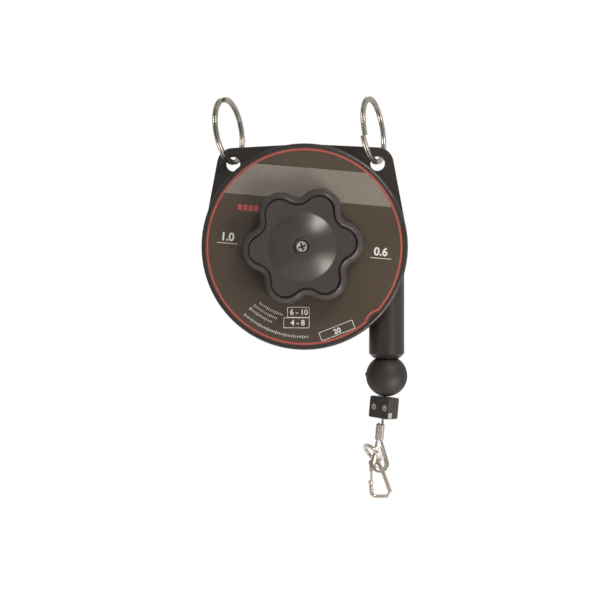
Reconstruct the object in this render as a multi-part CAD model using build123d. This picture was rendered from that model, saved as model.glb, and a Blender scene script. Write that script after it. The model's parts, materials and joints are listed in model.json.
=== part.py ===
from build123d import *
import math
import os

# Tool balancer: a round casing hung from two split rings, a spring drum inside it,
# a tension knob in front, and a rope with a stop ball, an adjusting clamp and a snap hook.
# Lengths are in millimetres. The origin lies midway between the two hanging holes,
# +Z is up and the front faces -Y.
# Every piece is first made in the drum frame: x right, y up, z towards the viewer,
# with z zero at the middle of the hanging plate and the drum axis at x = y = 0.

# Casing
CASING_R = 60.0
WALL = 2.5
LUG_ANGLE = 48.84
LUG_OUT = 4.42
LUG_THICK = 5.0
LUG_HOLE_R = 4.25
LUG_RIM = 5.15
LUG_BEVEL = 0.6
COVER_DEPTH = 9.0
FRONT_ROUND = 1.6
BACK_ROUND = 5.0
LIP_DEPTH = 1.5
LIP_WALL = 1.2
CASING_SCREWS = 5
CASING_SCREW_R = 1.5
CASING_SOCKET_R = 1.2
SCREW_BOSS_RIM = 0.4
BACK_BOSS_R = 15.0
BACK_BOSS_RISE = 1.2

# Label plate
LABEL_MARGIN = 2.2
LABEL_THICK = 0.5
NOTCH_ANGLE = -45.5
NOTCH_R = 7.7
NOTCH_OUT = 4.0

# Rope and drum
ROPE_R = 0.75
DRUM_WIDTH = 18.0
DRUM_FLANGE = 1.5
DRUM_WEB = 2.0
DRUM_WALL = 7.25
FLANGE_RISE = 2.5
DRUM_AHEAD = 3.0
DRUM_BEHIND = 5.0
DRUM_AIR = 0.8
REAR_AIR = 0.7
COVER_LEDGE = 4.3
COVER_VENTS = 6
COVER_VENT_R = 6.0
HUB_WALL = 2.6
HUB_LENGTH = 4.0
SPRING_STRIP = 0.6
SPRING_TURNS = 5
SPRING_HOOK = 3.0
DRUM_SCREWS = 4
DRUM_SCREW_R = 1.0
DRUM_SCREW_REACH = 4.0
ANCHOR_R = 1.25
ANCHOR_ANGLE = 200
ANCHOR_LENGTH = 3.0

# Arbor and brake
ARBOR_R = 6.0
TAIL_STEP = 1.0
BUSH_WALL = 1.9
BUSH_FLANGE = 2.2
BUSH_RISE = 0.8
SLEEVE_WALL = 1.9
SLEEVE_TAIL = 1.2
SLEEVE_FLAT = 0.6
CLIP_GROOVE = 0.5
CLIP_THICK = 1.0
CLIP_RIM = 2.2
BRAKE_ROOM = 3.1
BRAKE_WALL = 2.5
BRAKE_LENGTH = 5.0
WRAP_WIRE = 1.2
WRAP_TURNS = 2.5

# Rope guide below the casing
SPOUT_R = 10.35
SPOUT_WALL = 3.3
SPOUT_LIFT = 0.3
SPOUT_HIGH = 8.0
COLLAR = 5.8
COLLAR_BEVEL = 2.6
GUIDE_BORE_R = 2.0
GUIDE_STEM = 18.0
GUIDE_FLARE = 5.0

# Knob
LOBES = 6
LOBE_ANGLE = 5.0
LOBE_REACH = 35.6
VALLEY_REACH = 28.6
VALLEY_R = 5.0
KNOB_DEPTH = 13.0
KNOB_WALL = 2.6
KNOB_ROUND = 2.4
KNOB_LIP = 2.5
KNOB_SINK = 0.7
DOME_R = 19.85
DOME_RISE = 6.0
KNOB_WELL_R = 5.0
KNOB_SEAT = 8.7
KNOB_HUB_WALL = 3.1
KNOB_RIB = 1.8
KNOB_SCREW_R = 2.0
KNOB_SCREW_REACH = 12.0
KNOB_HEAD_R = 3.9
KNOB_HEAD = 3.4
WASHER_THICK = 1.0
CROSS_SPAN = 4.4
CROSS_WIDTH = 1.0

# Stop ball and clamp
BALL_R = 12.15
BALL_SINK = 1.55
ROPE_LEAN = -5.0
CLAMP_WIDTH = 14.2
CLAMP_HEIGHT = 12.5
CLAMP_DEPTH = 10.1
CLAMP_YAW = -35.0
CLAMP_SPLIT = 0.2
CLAMP_ROUND = 1.1
CLAMP_SCREW_PITCH = 7.8
CLAMP_SCREW_R = 1.25
CLAMP_HEAD_R = 2.0
CLAMP_HEAD = 1.8
CLAMP_SOCKET_R = 1.15
BAR_HEIGHT = 3.2
BAR_DEPTH = 3.6
BAR_FLOOR = 0.6

# Ferrule and rope eye
FERRULE_GAP = 3.95
FERRULE_LENGTH = 9.0
FERRULE_SIDE = 0.65
FERRULE_FACE = 0.9
FERRULE_GROOVE_R = 0.4
ROPE_PAIR_GAP = 0.7
ROPE_STUB = 1.2
EYE_LEAN = 7.0
EYE_R = 4.6
KINK_R = 2.5
EYE_DROP = 14.4
THIMBLE_WIDTH = 2.5
THIMBLE_IN = 1.2
THIMBLE_OUT = 0.3

# Snap hook
HOOK_R = 1.15
HOOK_SET_BACK = 3.5
HOOK_EYE_R = 5.9
HOOK_EYE_CENTRE = (-3.9, -8.2, -1.7)
HOOK_EYE_NORMAL = (0.66, 0.60, -0.45)
HOOK_TOP = (-1.0, -13.2)
HOOK_KNEE = (2.5, -20.5)
HOOK_TOE = (7.5, -34.0)
HOOK_HEEL = (-4.5, -34.0)
HOOK_NOSE = (-5.0, -25.6)
HOOK_BEND_R = 2.8
HOOK_PLATE = 1.8
NUB_R = 1.5
GATE_PIVOT = (-4.7, -13.9)
GATE_BOSS_R = 1.6
GATE_PIN_R = 0.6
GATE_SHEET = 0.6
GATE_TONGUE = 1.2
GATE_RELIEF = 0.5

# Split rings
RING_R = 20.0
RING_WIRE = 2.8
RING_TURN = 1.3
RING_LIFT = 1.0
RING_LEAN = 8.0
RING_YAW = 16.5

# Clearances
RUN = 0.03
SLIP = 0.05
GAP = 0.3
SEAT = 0.1

# Radii that follow from the sizes above
SLEEVE_R = ARBOR_R + SLEEVE_WALL
TAIL_R = ARBOR_R - TAIL_STEP
HUB_R = ARBOR_R + BUSH_WALL + HUB_WALL
BRAKE_R = SLEEVE_R + BRAKE_ROOM
KNOB_HUB_R = SLEEVE_R + KNOB_HUB_WALL
LABEL_EYE_R = SLEEVE_R + BUSH_WALL + BUSH_FLANGE
SCREW_BOSS_R = 2 * CASING_SCREW_R + SCREW_BOSS_RIM
BOSS_RING = CASING_R - WALL - SCREW_BOSS_R + SEAT
DRUM_R = BOSS_RING - SCREW_BOSS_R - DRUM_AIR
PITCH_R = DRUM_R - FLANGE_RISE
DRUM_SEAT_R = PITCH_R - ROPE_R
SPRING_WELL_R = DRUM_SEAT_R - DRUM_WALL
COVER_R = SPRING_WELL_R + COVER_LEDGE
SPOUT_BORE_R = SPOUT_R - SPOUT_WALL
LABEL_R = CASING_R - LABEL_MARGIN
NOTCH_CENTRE = CASING_R + NOTCH_OUT
LUG_CORNER_R = LUG_HOLE_R + LUG_RIM

# Depths and heights that follow from the sizes above
LUG_X = (CASING_R + LUG_OUT) * math.cos(math.radians(LUG_ANGLE))
HANG_RISE = (CASING_R + LUG_OUT) * math.sin(math.radians(LUG_ANGLE))
PART_Z = LUG_THICK / 2
FRONT_Z = PART_Z + COVER_DEPTH
COVER_INNER_Z = FRONT_Z - WALL
BRAKE_Z = COVER_INNER_Z - BRAKE_LENGTH
DRUM_FRONT = BRAKE_Z - DRUM_AHEAD
DRUM_REAR = DRUM_FRONT - DRUM_WIDTH
BACK_Z = DRUM_REAR - DRUM_BEHIND
TUB_INNER_Z = BACK_Z + WALL
SPLIT_Z = PART_Z - LIP_DEPTH
SPOUT_Z = (DRUM_FRONT + DRUM_REAR) / 2
SPOUT_LOW = CASING_R - SPOUT_LIFT
COVER_SEAT_Z = DRUM_FRONT - DRUM_FLANGE
TAIL_Z = BACK_Z + WALL / 2
REAR_BOSS_Z = DRUM_REAR - REAR_AIR
KNOB_BACK = FRONT_Z + BUSH_RISE + 4 * SLIP
KNOB_FRONT = KNOB_BACK + KNOB_DEPTH
HUB_END = KNOB_BACK + KNOB_SEAT
SPRING_LOW = DRUM_REAR + HUB_LENGTH + GAP
SPRING_HIGH = DRUM_FRONT - HUB_LENGTH - GAP
SPRING_MIDDLE = (SPRING_LOW + SPRING_HIGH) / 2
SPRING_WIDTH = SPRING_HIGH - SPRING_LOW
BALL_DROP = SPOUT_LOW + COLLAR + BALL_R - BALL_SINK
CLAMP_DROP = BALL_R + GAP + CLAMP_HEIGHT / 2
FERRULE_DROP = BALL_R + GAP + CLAMP_HEIGHT + FERRULE_GAP
ROPE_PAIR = 2 * ROPE_R + ROPE_PAIR_GAP
FERRULE_WIDTH = ROPE_PAIR + 2 * (ROPE_R + FERRULE_SIDE)
FERRULE_DEPTH = 2 * (ROPE_R + FERRULE_FACE)

DRUM_FRAME = Plane(origin=(0, 0, -HANG_RISE), x_dir=(1, 0, 0), z_dir=(0, -1, 0))
ROPE_TOP = math.sqrt((PITCH_R + ROPE_R) ** 2 - DRUM_SEAT_R ** 2) + GAP
BALL_FRAME = Pos(PITCH_R, -BALL_DROP, SPOUT_Z) * Rot(0, 0, ROPE_LEAN)
FERRULE_END = BALL_FRAME * Pos(-ROPE_PAIR / 2, -FERRULE_DROP - FERRULE_LENGTH, 0)
EYE_FRAME = FERRULE_END * Rot(0, 0, EYE_LEAN)
LOW = (Align.CENTER, Align.CENTER, Align.MIN)


def save(name, shape):
    """Move a piece from the drum frame to the part's frame and write it."""
    solids = (DRUM_FRAME * shape).solids()
    piece = Compound(children=list(solids)) if len(solids) > 1 else solids[0]
    export_step(piece, f"parts/{name}.step")


def disc(radius, low, high):
    """A round solid about the drum axis, from one depth to another."""
    return Pos(0, 0, low) * Cylinder(radius, high - low, align=LOW)


def band(inner, outer, low, high):
    """A round wall about the drum axis."""
    return disc(outer, low, high) - disc(inner, low - 1, high + 1)


def post(radius, x, z, low, high):
    """A round solid that stands upright, from one height to another."""
    return Pos(x, low, z) * Rot(-90, 0, 0) * Cylinder(radius, high - low, align=LOW)


def slab(width, height, depth, centre=(0, 0, 0)):
    """A box about a centre point."""
    return Pos(*centre) * Box(width, height, depth)


def polar(radius, angle):
    """A point at a distance and an angle from the drum axis."""
    return (radius * math.cos(math.radians(angle)), radius * math.sin(math.radians(angle)))


def around(piece, count, radius, start):
    """Copies of a piece spaced evenly round the drum axis."""
    step = 360 / count
    spots = [polar(radius, start + step * index) for index in range(count)]
    return [Pos(x, y, 0) * piece for x, y in spots]


# Casing

def label_outline(radius):
    """A disc with a shallow bite out of its lower right edge."""
    x, y = polar(NOTCH_CENTRE, NOTCH_ANGLE)
    bite = NOTCH_R + LABEL_R - radius
    return Circle(radius) - Pos(x, y) * Circle(bite)


def lug_outline():
    """One hanging lug, joined to the casing by lines tangent to both round edges."""
    hole = (LUG_X, HANG_RISE)
    heading = math.degrees(math.atan2(hole[1], hole[0]))
    spread = math.degrees(math.acos((CASING_R - LUG_CORNER_R) / math.hypot(*hole)))
    points = [(0, 0)]
    for turn in (-spread, spread):
        on_casing = polar(CASING_R, heading + turn)
        step = polar(LUG_CORNER_R, heading + turn)
        on_lug = (hole[0] + step[0], hole[1] + step[1])
        pair = [on_casing, on_lug] if turn < 0 else [on_lug, on_casing]
        points.extend(pair)
    return Polygon(*points, align=None) + Pos(*hole) * Circle(LUG_CORNER_R)


def lug_plate():
    """The hanging plate with its two bevelled holes."""
    right = extrude(lug_outline(), LUG_THICK / 2, both=True)
    plate = right + mirror(right, about=Plane.YZ)
    plate = plate + disc(CASING_R, -LUG_THICK / 2, LUG_THICK / 2)
    for side in (-1, 1):
        place = Pos(side * LUG_X, HANG_RISE, 0)
        plate = plate - place * Cylinder(LUG_HOLE_R, 2 * LUG_THICK)
        for face in (-1, 1):
            mouth = Cone(LUG_HOLE_R, LUG_HOLE_R + LUG_BEVEL, LUG_BEVEL, align=LOW)
            turn = Rot(0, 0, 0) if face > 0 else Rot(180, 0, 0)
            plate = plate - place * Pos(0, 0, face * (LUG_THICK / 2 - LUG_BEVEL)) * turn * mouth
    return plate


def casing_screw_spots(piece):
    """Copies of a piece at the casing screws."""
    return around(piece, CASING_SCREWS, BOSS_RING, 90)


def rear_casing():
    """The deep rear shell with the hanging plate, the rope spout and the arbor's rear bearing."""
    shell = disc(CASING_R, BACK_Z, PART_Z)
    shell = fillet(shell.edges().group_by(Axis.Z)[0], BACK_ROUND)
    shell = shell + lug_plate()
    shell = shell + post(SPOUT_R, PITCH_R, SPOUT_Z, -SPOUT_LOW, -SPOUT_HIGH)
    well = disc(CASING_R - WALL, TUB_INNER_Z, PART_Z + 1)
    well = fillet(well.edges().group_by(Axis.Z)[0], BACK_ROUND - WALL)
    shell = shell - well
    boss = disc(SCREW_BOSS_R, BACK_Z + WALL / 2, SPLIT_Z)
    for item in casing_screw_spots(boss):
        shell = shell + item
    shell = shell + disc(HUB_R, TUB_INNER_Z - WALL / 2, REAR_BOSS_Z)
    shell = shell + disc(BACK_BOSS_R, BACK_Z - BACK_BOSS_RISE, BACK_Z + WALL / 2)
    shell = shell - disc(TAIL_R + BUSH_WALL + SEAT / 2, TAIL_Z, REAR_BOSS_Z + 1)
    hole = disc(CASING_SCREW_R + SLIP, BACK_Z - 1, SPLIT_Z + 1)
    head = disc(2 * CASING_SCREW_R + SEAT, BACK_Z - 1, BACK_Z + 2 * CASING_SCREW_R + SEAT)
    for item in casing_screw_spots(hole + head):
        shell = shell - item
    return shell - post(SPOUT_BORE_R, PITCH_R, SPOUT_Z, -SPOUT_LOW - 1, -SPOUT_HIGH - SPOUT_BORE_R)


def front_cover():
    """The shallow front shell with the label recess, the register lip and the brake seat."""
    shell = disc(CASING_R, PART_Z, FRONT_Z)
    shell = fillet(shell.edges().group_by(Axis.Z)[-1], FRONT_ROUND)
    recess = extrude(label_outline(LABEL_R + SEAT), LABEL_THICK + 1)
    shell = shell - Pos(0, 0, FRONT_Z - LABEL_THICK) * recess
    shell = shell - disc(CASING_R - WALL, PART_Z - 1, COVER_INNER_Z)
    lip_r = CASING_R - WALL - SLIP
    shell = shell + band(lip_r - LIP_WALL, lip_r, SPLIT_Z + GAP, PART_Z + 1)
    shell = shell + band(lip_r - LIP_WALL, CASING_R - WALL / 2, PART_Z, PART_Z + 1)
    boss = disc(SCREW_BOSS_R, SPLIT_Z, COVER_INNER_Z + WALL / 2)
    for item in casing_screw_spots(boss):
        shell = shell + (item & disc(lip_r, SPLIT_Z, FRONT_Z))
    brake_out = BRAKE_R + BRAKE_WALL
    shell = shell + band(brake_out + SEAT / 2, brake_out + WALL, BRAKE_Z, COVER_INNER_Z + WALL / 2)
    hole = disc(CASING_SCREW_R + SLIP / 2, SPLIT_Z - 1, COVER_INNER_Z)
    for item in casing_screw_spots(hole):
        shell = shell - item
    return shell - disc(SLEEVE_R + BUSH_WALL + SEAT / 2, PART_Z, FRONT_Z + 1)


def label_plate():
    """The thin round label plate, pierced for the arbor."""
    sheet = extrude(label_outline(LABEL_R), LABEL_THICK)
    return Pos(0, 0, FRONT_Z - LABEL_THICK) * sheet - disc(LABEL_EYE_R, BACK_Z, KNOB_FRONT)


def casing_screws():
    """Pan head screws driven from behind into the front cover's posts."""
    shank = disc(CASING_SCREW_R, BACK_Z + 2 * CASING_SCREW_R, SPLIT_Z + 4 * CASING_SCREW_R)
    head = disc(2 * CASING_SCREW_R, BACK_Z + SEAT, BACK_Z + 2 * CASING_SCREW_R + SEAT)
    socket = extrude(RegularPolygon(CASING_SOCKET_R, 6), 1.5 * CASING_SOCKET_R)
    screw = shank + head - Pos(0, 0, BACK_Z) * socket
    return Compound(children=casing_screw_spots(screw))


def rear_bush():
    """The bush that carries the arbor's tail."""
    return band(TAIL_R + RUN, TAIL_R + BUSH_WALL, TAIL_Z, REAR_BOSS_Z)


def front_bush():
    """The flanged bush in which the knob's sleeve turns."""
    high = FRONT_Z + BUSH_RISE
    stem = band(SLEEVE_R + RUN, SLEEVE_R + BUSH_WALL, COVER_INNER_Z, high)
    return stem + band(SLEEVE_R + RUN, LABEL_EYE_R - GAP, FRONT_Z - LABEL_THICK, high)


def brake_ring():
    """The hard ring that the wrap spring grips from inside."""
    return band(BRAKE_R, BRAKE_R + BRAKE_WALL, BRAKE_Z, COVER_INNER_Z)


def guide_nozzle():
    """The rope guide: a stem in the spout, a bevelled collar and a dished seat for the ball."""
    top = -SPOUT_LOW + GUIDE_STEM
    low = -SPOUT_LOW - COLLAR
    collar = post(SPOUT_R, PITCH_R, SPOUT_Z, low, -SPOUT_LOW)
    collar = chamfer(collar.edges().group_by(Axis.Y)[0], COLLAR_BEVEL)
    stem = post(SPOUT_BORE_R - SLIP, PITCH_R, SPOUT_Z, -SPOUT_LOW, top)
    flare = Cone(GUIDE_BORE_R, SPOUT_BORE_R - 1, GUIDE_FLARE + 0.5, align=LOW)
    flare = Pos(PITCH_R, top - GUIDE_FLARE, SPOUT_Z) * Rot(-90, 0, 0) * flare
    dish = Pos(PITCH_R, -BALL_DROP, SPOUT_Z) * Sphere(BALL_R + GAP)
    bore = post(GUIDE_BORE_R, PITCH_R, SPOUT_Z, low - 1, top + 1)
    return collar + stem - flare - dish - bore


# Drum

def rope_drum():
    """The rope drum: a smooth seat between two flanges, and a well for the power spring."""
    seat_low = DRUM_REAR + DRUM_FLANGE
    seat_high = DRUM_FRONT - DRUM_FLANGE
    drum = disc(DRUM_R, DRUM_REAR, seat_low) + disc(DRUM_SEAT_R, DRUM_REAR, DRUM_FRONT)
    drum = drum + disc(DRUM_R, seat_high, DRUM_FRONT)
    drum = drum - disc(SPRING_WELL_R, DRUM_REAR + DRUM_WEB, DRUM_FRONT + 1)
    drum = drum - disc(COVER_R + SLIP, COVER_SEAT_Z, DRUM_FRONT + 1)
    drum = drum + disc(HUB_R, DRUM_REAR, DRUM_REAR + HUB_LENGTH)
    drum = drum - disc(ARBOR_R + BUSH_WALL + SEAT / 2, DRUM_REAR - 1, DRUM_FRONT)
    hole = disc(DRUM_SCREW_R + SLIP, COVER_SEAT_Z - DRUM_SCREW_REACH - 0.5, DRUM_FRONT)
    for item in cover_screw_spots(hole):
        drum = drum - item
    slot_reach = SPRING_HOOK + 4 * SEAT
    slot_width = SPRING_STRIP + 16 * SEAT
    slot = slab(slot_reach, slot_width, SPRING_WIDTH + 1, (SPRING_WELL_R + 1.2, 0, SPRING_MIDDLE))
    pocket = SlotOverall(4 * ANCHOR_R + 2 * SEAT, 2 * (ANCHOR_R + SEAT))
    pocket = Pos(0, 0, -SEAT) * extrude(pocket, ANCHOR_LENGTH + 2 * SEAT)
    return drum - slot - anchor_place(ANCHOR_R) * pocket


def cover_screw_spots(piece):
    """Copies of a piece at the drum cover's screws."""
    return around(piece, DRUM_SCREWS, (SPRING_WELL_R + COVER_R) / 2, 45)


def drum_cover():
    """The plate that shuts the spring in and carries the drum's front bush."""
    plate = disc(COVER_R, COVER_SEAT_Z, DRUM_FRONT)
    plate = plate + disc(HUB_R, DRUM_FRONT - HUB_LENGTH, DRUM_FRONT)
    plate = plate - disc(ARBOR_R + BUSH_WALL + SEAT / 2, DRUM_REAR, DRUM_FRONT + 1)
    vent = disc(COVER_VENT_R, COVER_SEAT_Z - 1, DRUM_FRONT + 1)
    for item in around(vent, COVER_VENTS, (SPRING_WELL_R + HUB_R) / 2, 180 / COVER_VENTS):
        plate = plate - item
    for item in cover_screw_spots(disc(DRUM_SCREW_R + SLIP, COVER_SEAT_Z - 1, DRUM_FRONT + 1)):
        plate = plate - item
    return plate


def drum_screws():
    """Small pan head screws that hold the drum cover."""
    shank = disc(DRUM_SCREW_R, COVER_SEAT_Z - DRUM_SCREW_REACH, DRUM_FRONT + DRUM_SCREW_R)
    head = disc(1.8 * DRUM_SCREW_R, DRUM_FRONT, DRUM_FRONT + 1.4 * DRUM_SCREW_R)
    return Compound(children=cover_screw_spots(shank + head))


def drum_bushes():
    """Two plain bushes on which the drum turns about the arbor."""
    rear = band(ARBOR_R + RUN, ARBOR_R + BUSH_WALL, DRUM_REAR, DRUM_REAR + HUB_LENGTH)
    front = band(ARBOR_R + RUN, ARBOR_R + BUSH_WALL, DRUM_FRONT - HUB_LENGTH, DRUM_FRONT)
    return Compound(children=[rear, front])


def spiral_wall(offset):
    """Half-turn arcs from the arbor out to the drum's wall, each on a centre that steps aside."""
    first = ARBOR_R + 2 * GAP + offset
    last = SPRING_WELL_R - 2 * GAP - SPRING_STRIP + offset
    step = (last - first) / (2 * SPRING_TURNS)
    radius = first
    centre = 0.0
    arcs = []
    for index in range(2 * SPRING_TURNS):
        start = 0 if index % 2 == 0 else 180
        arcs.append(CenterArc((centre, 0), radius, start, 180))
        centre = centre + (step if index % 2 == 0 else -step)
        radius = radius + step
    return arcs


def power_spring():
    """The flat spiral spring, hooked to the arbor inside and to the drum outside."""
    inner = spiral_wall(0)
    outer = spiral_wall(SPRING_STRIP)
    ends = [Line(inner[0] @ 0, outer[0] @ 0), Line(inner[-1] @ 1, outer[-1] @ 1)]
    strip = extrude(make_face(inner + outer + ends), SPRING_WIDTH)
    inner_x = (inner[0] @ 0).X - SPRING_HOOK / 3
    outer_x = (outer[-1] @ 1).X + SPRING_HOOK / 3
    strip = strip + slab(SPRING_HOOK, SPRING_STRIP, SPRING_WIDTH, (inner_x, 0, SPRING_WIDTH / 2))
    strip = strip + slab(SPRING_HOOK, SPRING_STRIP, SPRING_WIDTH, (outer_x, 0, SPRING_WIDTH / 2))
    return Pos(0, 0, SPRING_LOW) * strip


def wound_rope():
    """The outer shape of the rope's turns on the drum."""
    low = DRUM_REAR + DRUM_FLANGE + SEAT
    high = DRUM_FRONT - DRUM_FLANGE - SEAT
    return band(DRUM_SEAT_R + SEAT / 2, PITCH_R + ROPE_R, low, high)


def rope_anchor():
    """The pressed barrel that locks the rope's inner end in the drum."""
    return anchor_place(0) * Cylinder(ANCHOR_R, ANCHOR_LENGTH, align=LOW)


def anchor_place(out):
    """The anchor's seat just under the drum's surface, turned to face outwards."""
    x, y = polar(DRUM_SEAT_R - ANCHOR_R - SEAT + out, ANCHOR_ANGLE)
    return Pos(x, y, DRUM_REAR + DRUM_FLANGE + ROPE_R) * Rot(0, 0, ANCHOR_ANGLE)


# Arbor and brake

def arbor_shaft():
    """The stepped shaft that holds the spring's inner end and drives it from the knob."""
    shaft = disc(TAIL_R, TAIL_Z + SEAT, DRUM_REAR - SEAT) + disc(ARBOR_R, DRUM_REAR - SEAT, HUB_END - 2)
    groove_z = DRUM_FRONT + SEAT
    groove = band(ARBOR_R - CLIP_GROOVE, ARBOR_R + 1, groove_z, groove_z + CLIP_THICK + SEAT)
    slot_width = SPRING_STRIP + 4 * SEAT
    hook_slot = slab(ARBOR_R, slot_width, SPRING_WIDTH + 1, (0.75 * ARBOR_R, 0, SPRING_MIDDLE))
    key = brake_key(ARBOR_R - 0.5, 40, 50, COVER_INNER_Z - SLEEVE_TAIL - GAP)
    tapped = disc(KNOB_SCREW_R + SLIP / 2, HUB_END - KNOB_SCREW_REACH - 2, HUB_END)
    return shaft - groove - hook_slot + key - tapped


def brake_key(root, start, sweep, high):
    """A sector between the wrap spring's two inward ends."""
    tip = BRAKE_R - WRAP_WIRE - GAP - 2 * SEAT
    low = BRAKE_Z + GAP
    ring = band(root, tip, low, high)
    wedge = Pos(0, 0, low) * extrude(pie(tip + 1, start, sweep), high - low)
    return ring & wedge


def pie(radius, start, sweep):
    """A sector of a disc."""
    arc = CenterArc((0, 0), radius, start, sweep)
    return make_face([arc, Line((0, 0), arc @ 0), Line(arc @ 1, (0, 0))])


def knob_sleeve():
    """The flatted sleeve that carries the knob and frees the brake."""
    sleeve = band(ARBOR_R + SLIP, SLEEVE_R, COVER_INNER_Z - SLEEVE_TAIL, HUB_END - 2)
    flat = 2 * (SLEEVE_R - SLEEVE_FLAT)
    keep = slab(flat, 3 * SLEEVE_R, HUB_END, (0, 0, KNOB_BACK + HUB_END / 2))
    upper = sleeve & (keep + disc(2 * SLEEVE_R, BACK_Z, KNOB_BACK))
    return upper + brake_key(ARBOR_R + SLIP, 230, 80, COVER_INNER_Z - GAP)


def wrap_spring():
    """The coil that locks the arbor to the brake ring in either direction."""
    mean = BRAKE_R - WRAP_WIRE / 2 - SEAT
    pitch = WRAP_WIRE + 0.1
    path = Helix(pitch, pitch * WRAP_TURNS, mean)
    section = Plane(origin=path @ 0, x_dir=(1, 0, 0), z_dir=path % 0) * Rectangle(WRAP_WIRE, WRAP_WIRE)
    coil = sweep(section, path=path, is_frenet=True)
    for end, way in ((path @ 0, 1), (path @ 1, -1)):
        coil = coil + slab(2.4, WRAP_WIRE, WRAP_WIRE, (end.X - way * 1.2, 0, end.Z))
    return Pos(0, 0, BRAKE_Z + WRAP_WIRE / 2 + SEAT) * coil


def drum_clip():
    """The open retaining ring in the arbor's groove, in front of the drum."""
    low = DRUM_FRONT + SEAT + SLIP
    ring = band(ARBOR_R - CLIP_GROOVE + SLIP, ARBOR_R + CLIP_RIM, low, low + CLIP_THICK - SLIP)
    return ring - slab(ARBOR_R / 2, 3 * ARBOR_R, 4 * CLIP_THICK, (0, -1.5 * ARBOR_R, low))


# Knob

def knob_outline():
    """The lobed outline: six round lobes joined by hollow arcs tangent to them."""
    half = 180 / LOBES
    valley_c = VALLEY_REACH + VALLEY_R
    across = valley_c * math.cos(math.radians(half))
    top = LOBE_REACH ** 2 + valley_c ** 2 - VALLEY_R ** 2 - 2 * LOBE_REACH * across
    lobe_r = top / (2 * (LOBE_REACH + VALLEY_R - across))
    lobe_c = LOBE_REACH - lobe_r
    share = lobe_r / (lobe_r + VALLEY_R)
    arcs = []
    for index in range(LOBES):
        heading = LOBE_ANGLE + 2 * half * index
        lobe = polar(lobe_c, heading)
        after = polar(valley_c, heading + half)
        before = polar(valley_c, heading - half)
        following = polar(lobe_c, heading + 2 * half)
        start = tuple(a + (b - a) * share for a, b in zip(lobe, before))
        middle = tuple(a + (b - a) * share for a, b in zip(lobe, after))
        end = tuple(a + (b - a) * share for a, b in zip(following, after))
        arcs.append(ThreePointArc(start, polar(LOBE_REACH, heading), middle))
        arcs.append(ThreePointArc(middle, polar(VALLEY_REACH, heading + half), end))
    return make_face(arcs)


def tension_knob():
    """The hollow lobed knob with a rolled lip, a sunk face, a domed middle and a screw well."""
    outline = knob_outline()
    body = Pos(0, 0, KNOB_BACK) * extrude(outline, KNOB_DEPTH)
    body = fillet(body.faces().sort_by(Axis.Z)[-1].edges(), KNOB_ROUND)
    face_z = KNOB_FRONT - KNOB_SINK
    sunk = Pos(0, 0, face_z) * extrude(offset(outline, -KNOB_LIP - 0.4), KNOB_SINK + 1)
    body = body - sunk
    dome_ball = (DOME_R ** 2 + DOME_RISE ** 2) / (2 * DOME_RISE)
    dome = Pos(0, 0, face_z + DOME_RISE - dome_ball) * Sphere(dome_ball)
    body = body + (dome & disc(DOME_R, face_z - 1, KNOB_FRONT + DOME_RISE))
    hollow = extrude(offset(outline, -KNOB_WALL), face_z - KNOB_WALL - KNOB_BACK)
    hollow = Pos(0, 0, KNOB_BACK) * hollow - disc(KNOB_HUB_R, KNOB_BACK, KNOB_FRONT)
    rib_z = KNOB_BACK + KNOB_DEPTH / 2 + KNOB_RIB
    for index in range(LOBES):
        rib = slab(2 * LOBE_REACH, KNOB_RIB, KNOB_DEPTH, (LOBE_REACH, 0, rib_z))
        hollow = hollow - Rot(0, 0, LOBE_ANGLE + index * 360 / LOBES) * rib
    body = body - hollow - disc(KNOB_WELL_R, HUB_END + WASHER_THICK, KNOB_FRONT + DOME_RISE)
    body = body - disc(LABEL_EYE_R, KNOB_BACK - 1, FRONT_Z + BUSH_RISE + GAP)
    drive = disc(SLEEVE_R + SLIP, KNOB_BACK - 1, HUB_END - 1.5)
    flat = slab(2 * (SLEEVE_R - SLEEVE_FLAT + SLIP), 3 * SLEEVE_R, 3 * KNOB_DEPTH, (0, 0, KNOB_BACK))
    return body - (drive & flat) - disc(KNOB_SCREW_R + SEAT, KNOB_BACK, KNOB_FRONT)


def knob_washer():
    """The washer under the knob screw."""
    low = HUB_END + WASHER_THICK
    return band(KNOB_SCREW_R + SEAT, KNOB_WELL_R - GAP, low, low + WASHER_THICK)


def knob_screw():
    """The cross recessed screw at the bottom of the knob's well."""
    low = HUB_END + 2 * WASHER_THICK
    shank = disc(KNOB_SCREW_R, HUB_END - KNOB_SCREW_REACH, low + 1)
    head = disc(KNOB_HEAD_R, low, low + KNOB_HEAD)
    head = fillet(head.edges().group_by(Axis.Z)[-1], KNOB_HEAD / 4)
    deep = 0.9 * KNOB_HEAD
    cross = slab(CROSS_SPAN, CROSS_WIDTH, deep) + slab(CROSS_WIDTH, CROSS_SPAN, deep)
    cross = Pos(0, 0, low + KNOB_HEAD) * cross
    return shank + head - Rot(0, 0, 20) * cross


# Rope and its fittings

def rope_span():
    """The straight rope from the drum down to the ball."""
    return post(ROPE_R, PITCH_R, SPOUT_Z, -BALL_DROP, -ROPE_TOP)


def eye_tangent():
    """Where the rope's straight leg meets the round bottom of the eye."""
    leg = math.hypot(ROPE_PAIR / 2, EYE_DROP)
    turn = math.asin(EYE_R / leg) - math.atan2(ROPE_PAIR / 2, EYE_DROP)
    run = math.sqrt(leg ** 2 - EYE_R ** 2)
    return (ROPE_PAIR / 2 + run * math.sin(turn), -run * math.cos(turn))


def in_eye(x, y):
    """A point of the eye's plane, in the drum frame."""
    spot = (EYE_FRAME * Pos(x, y, 0)).position
    return (spot.X, spot.Y, spot.Z)


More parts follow.
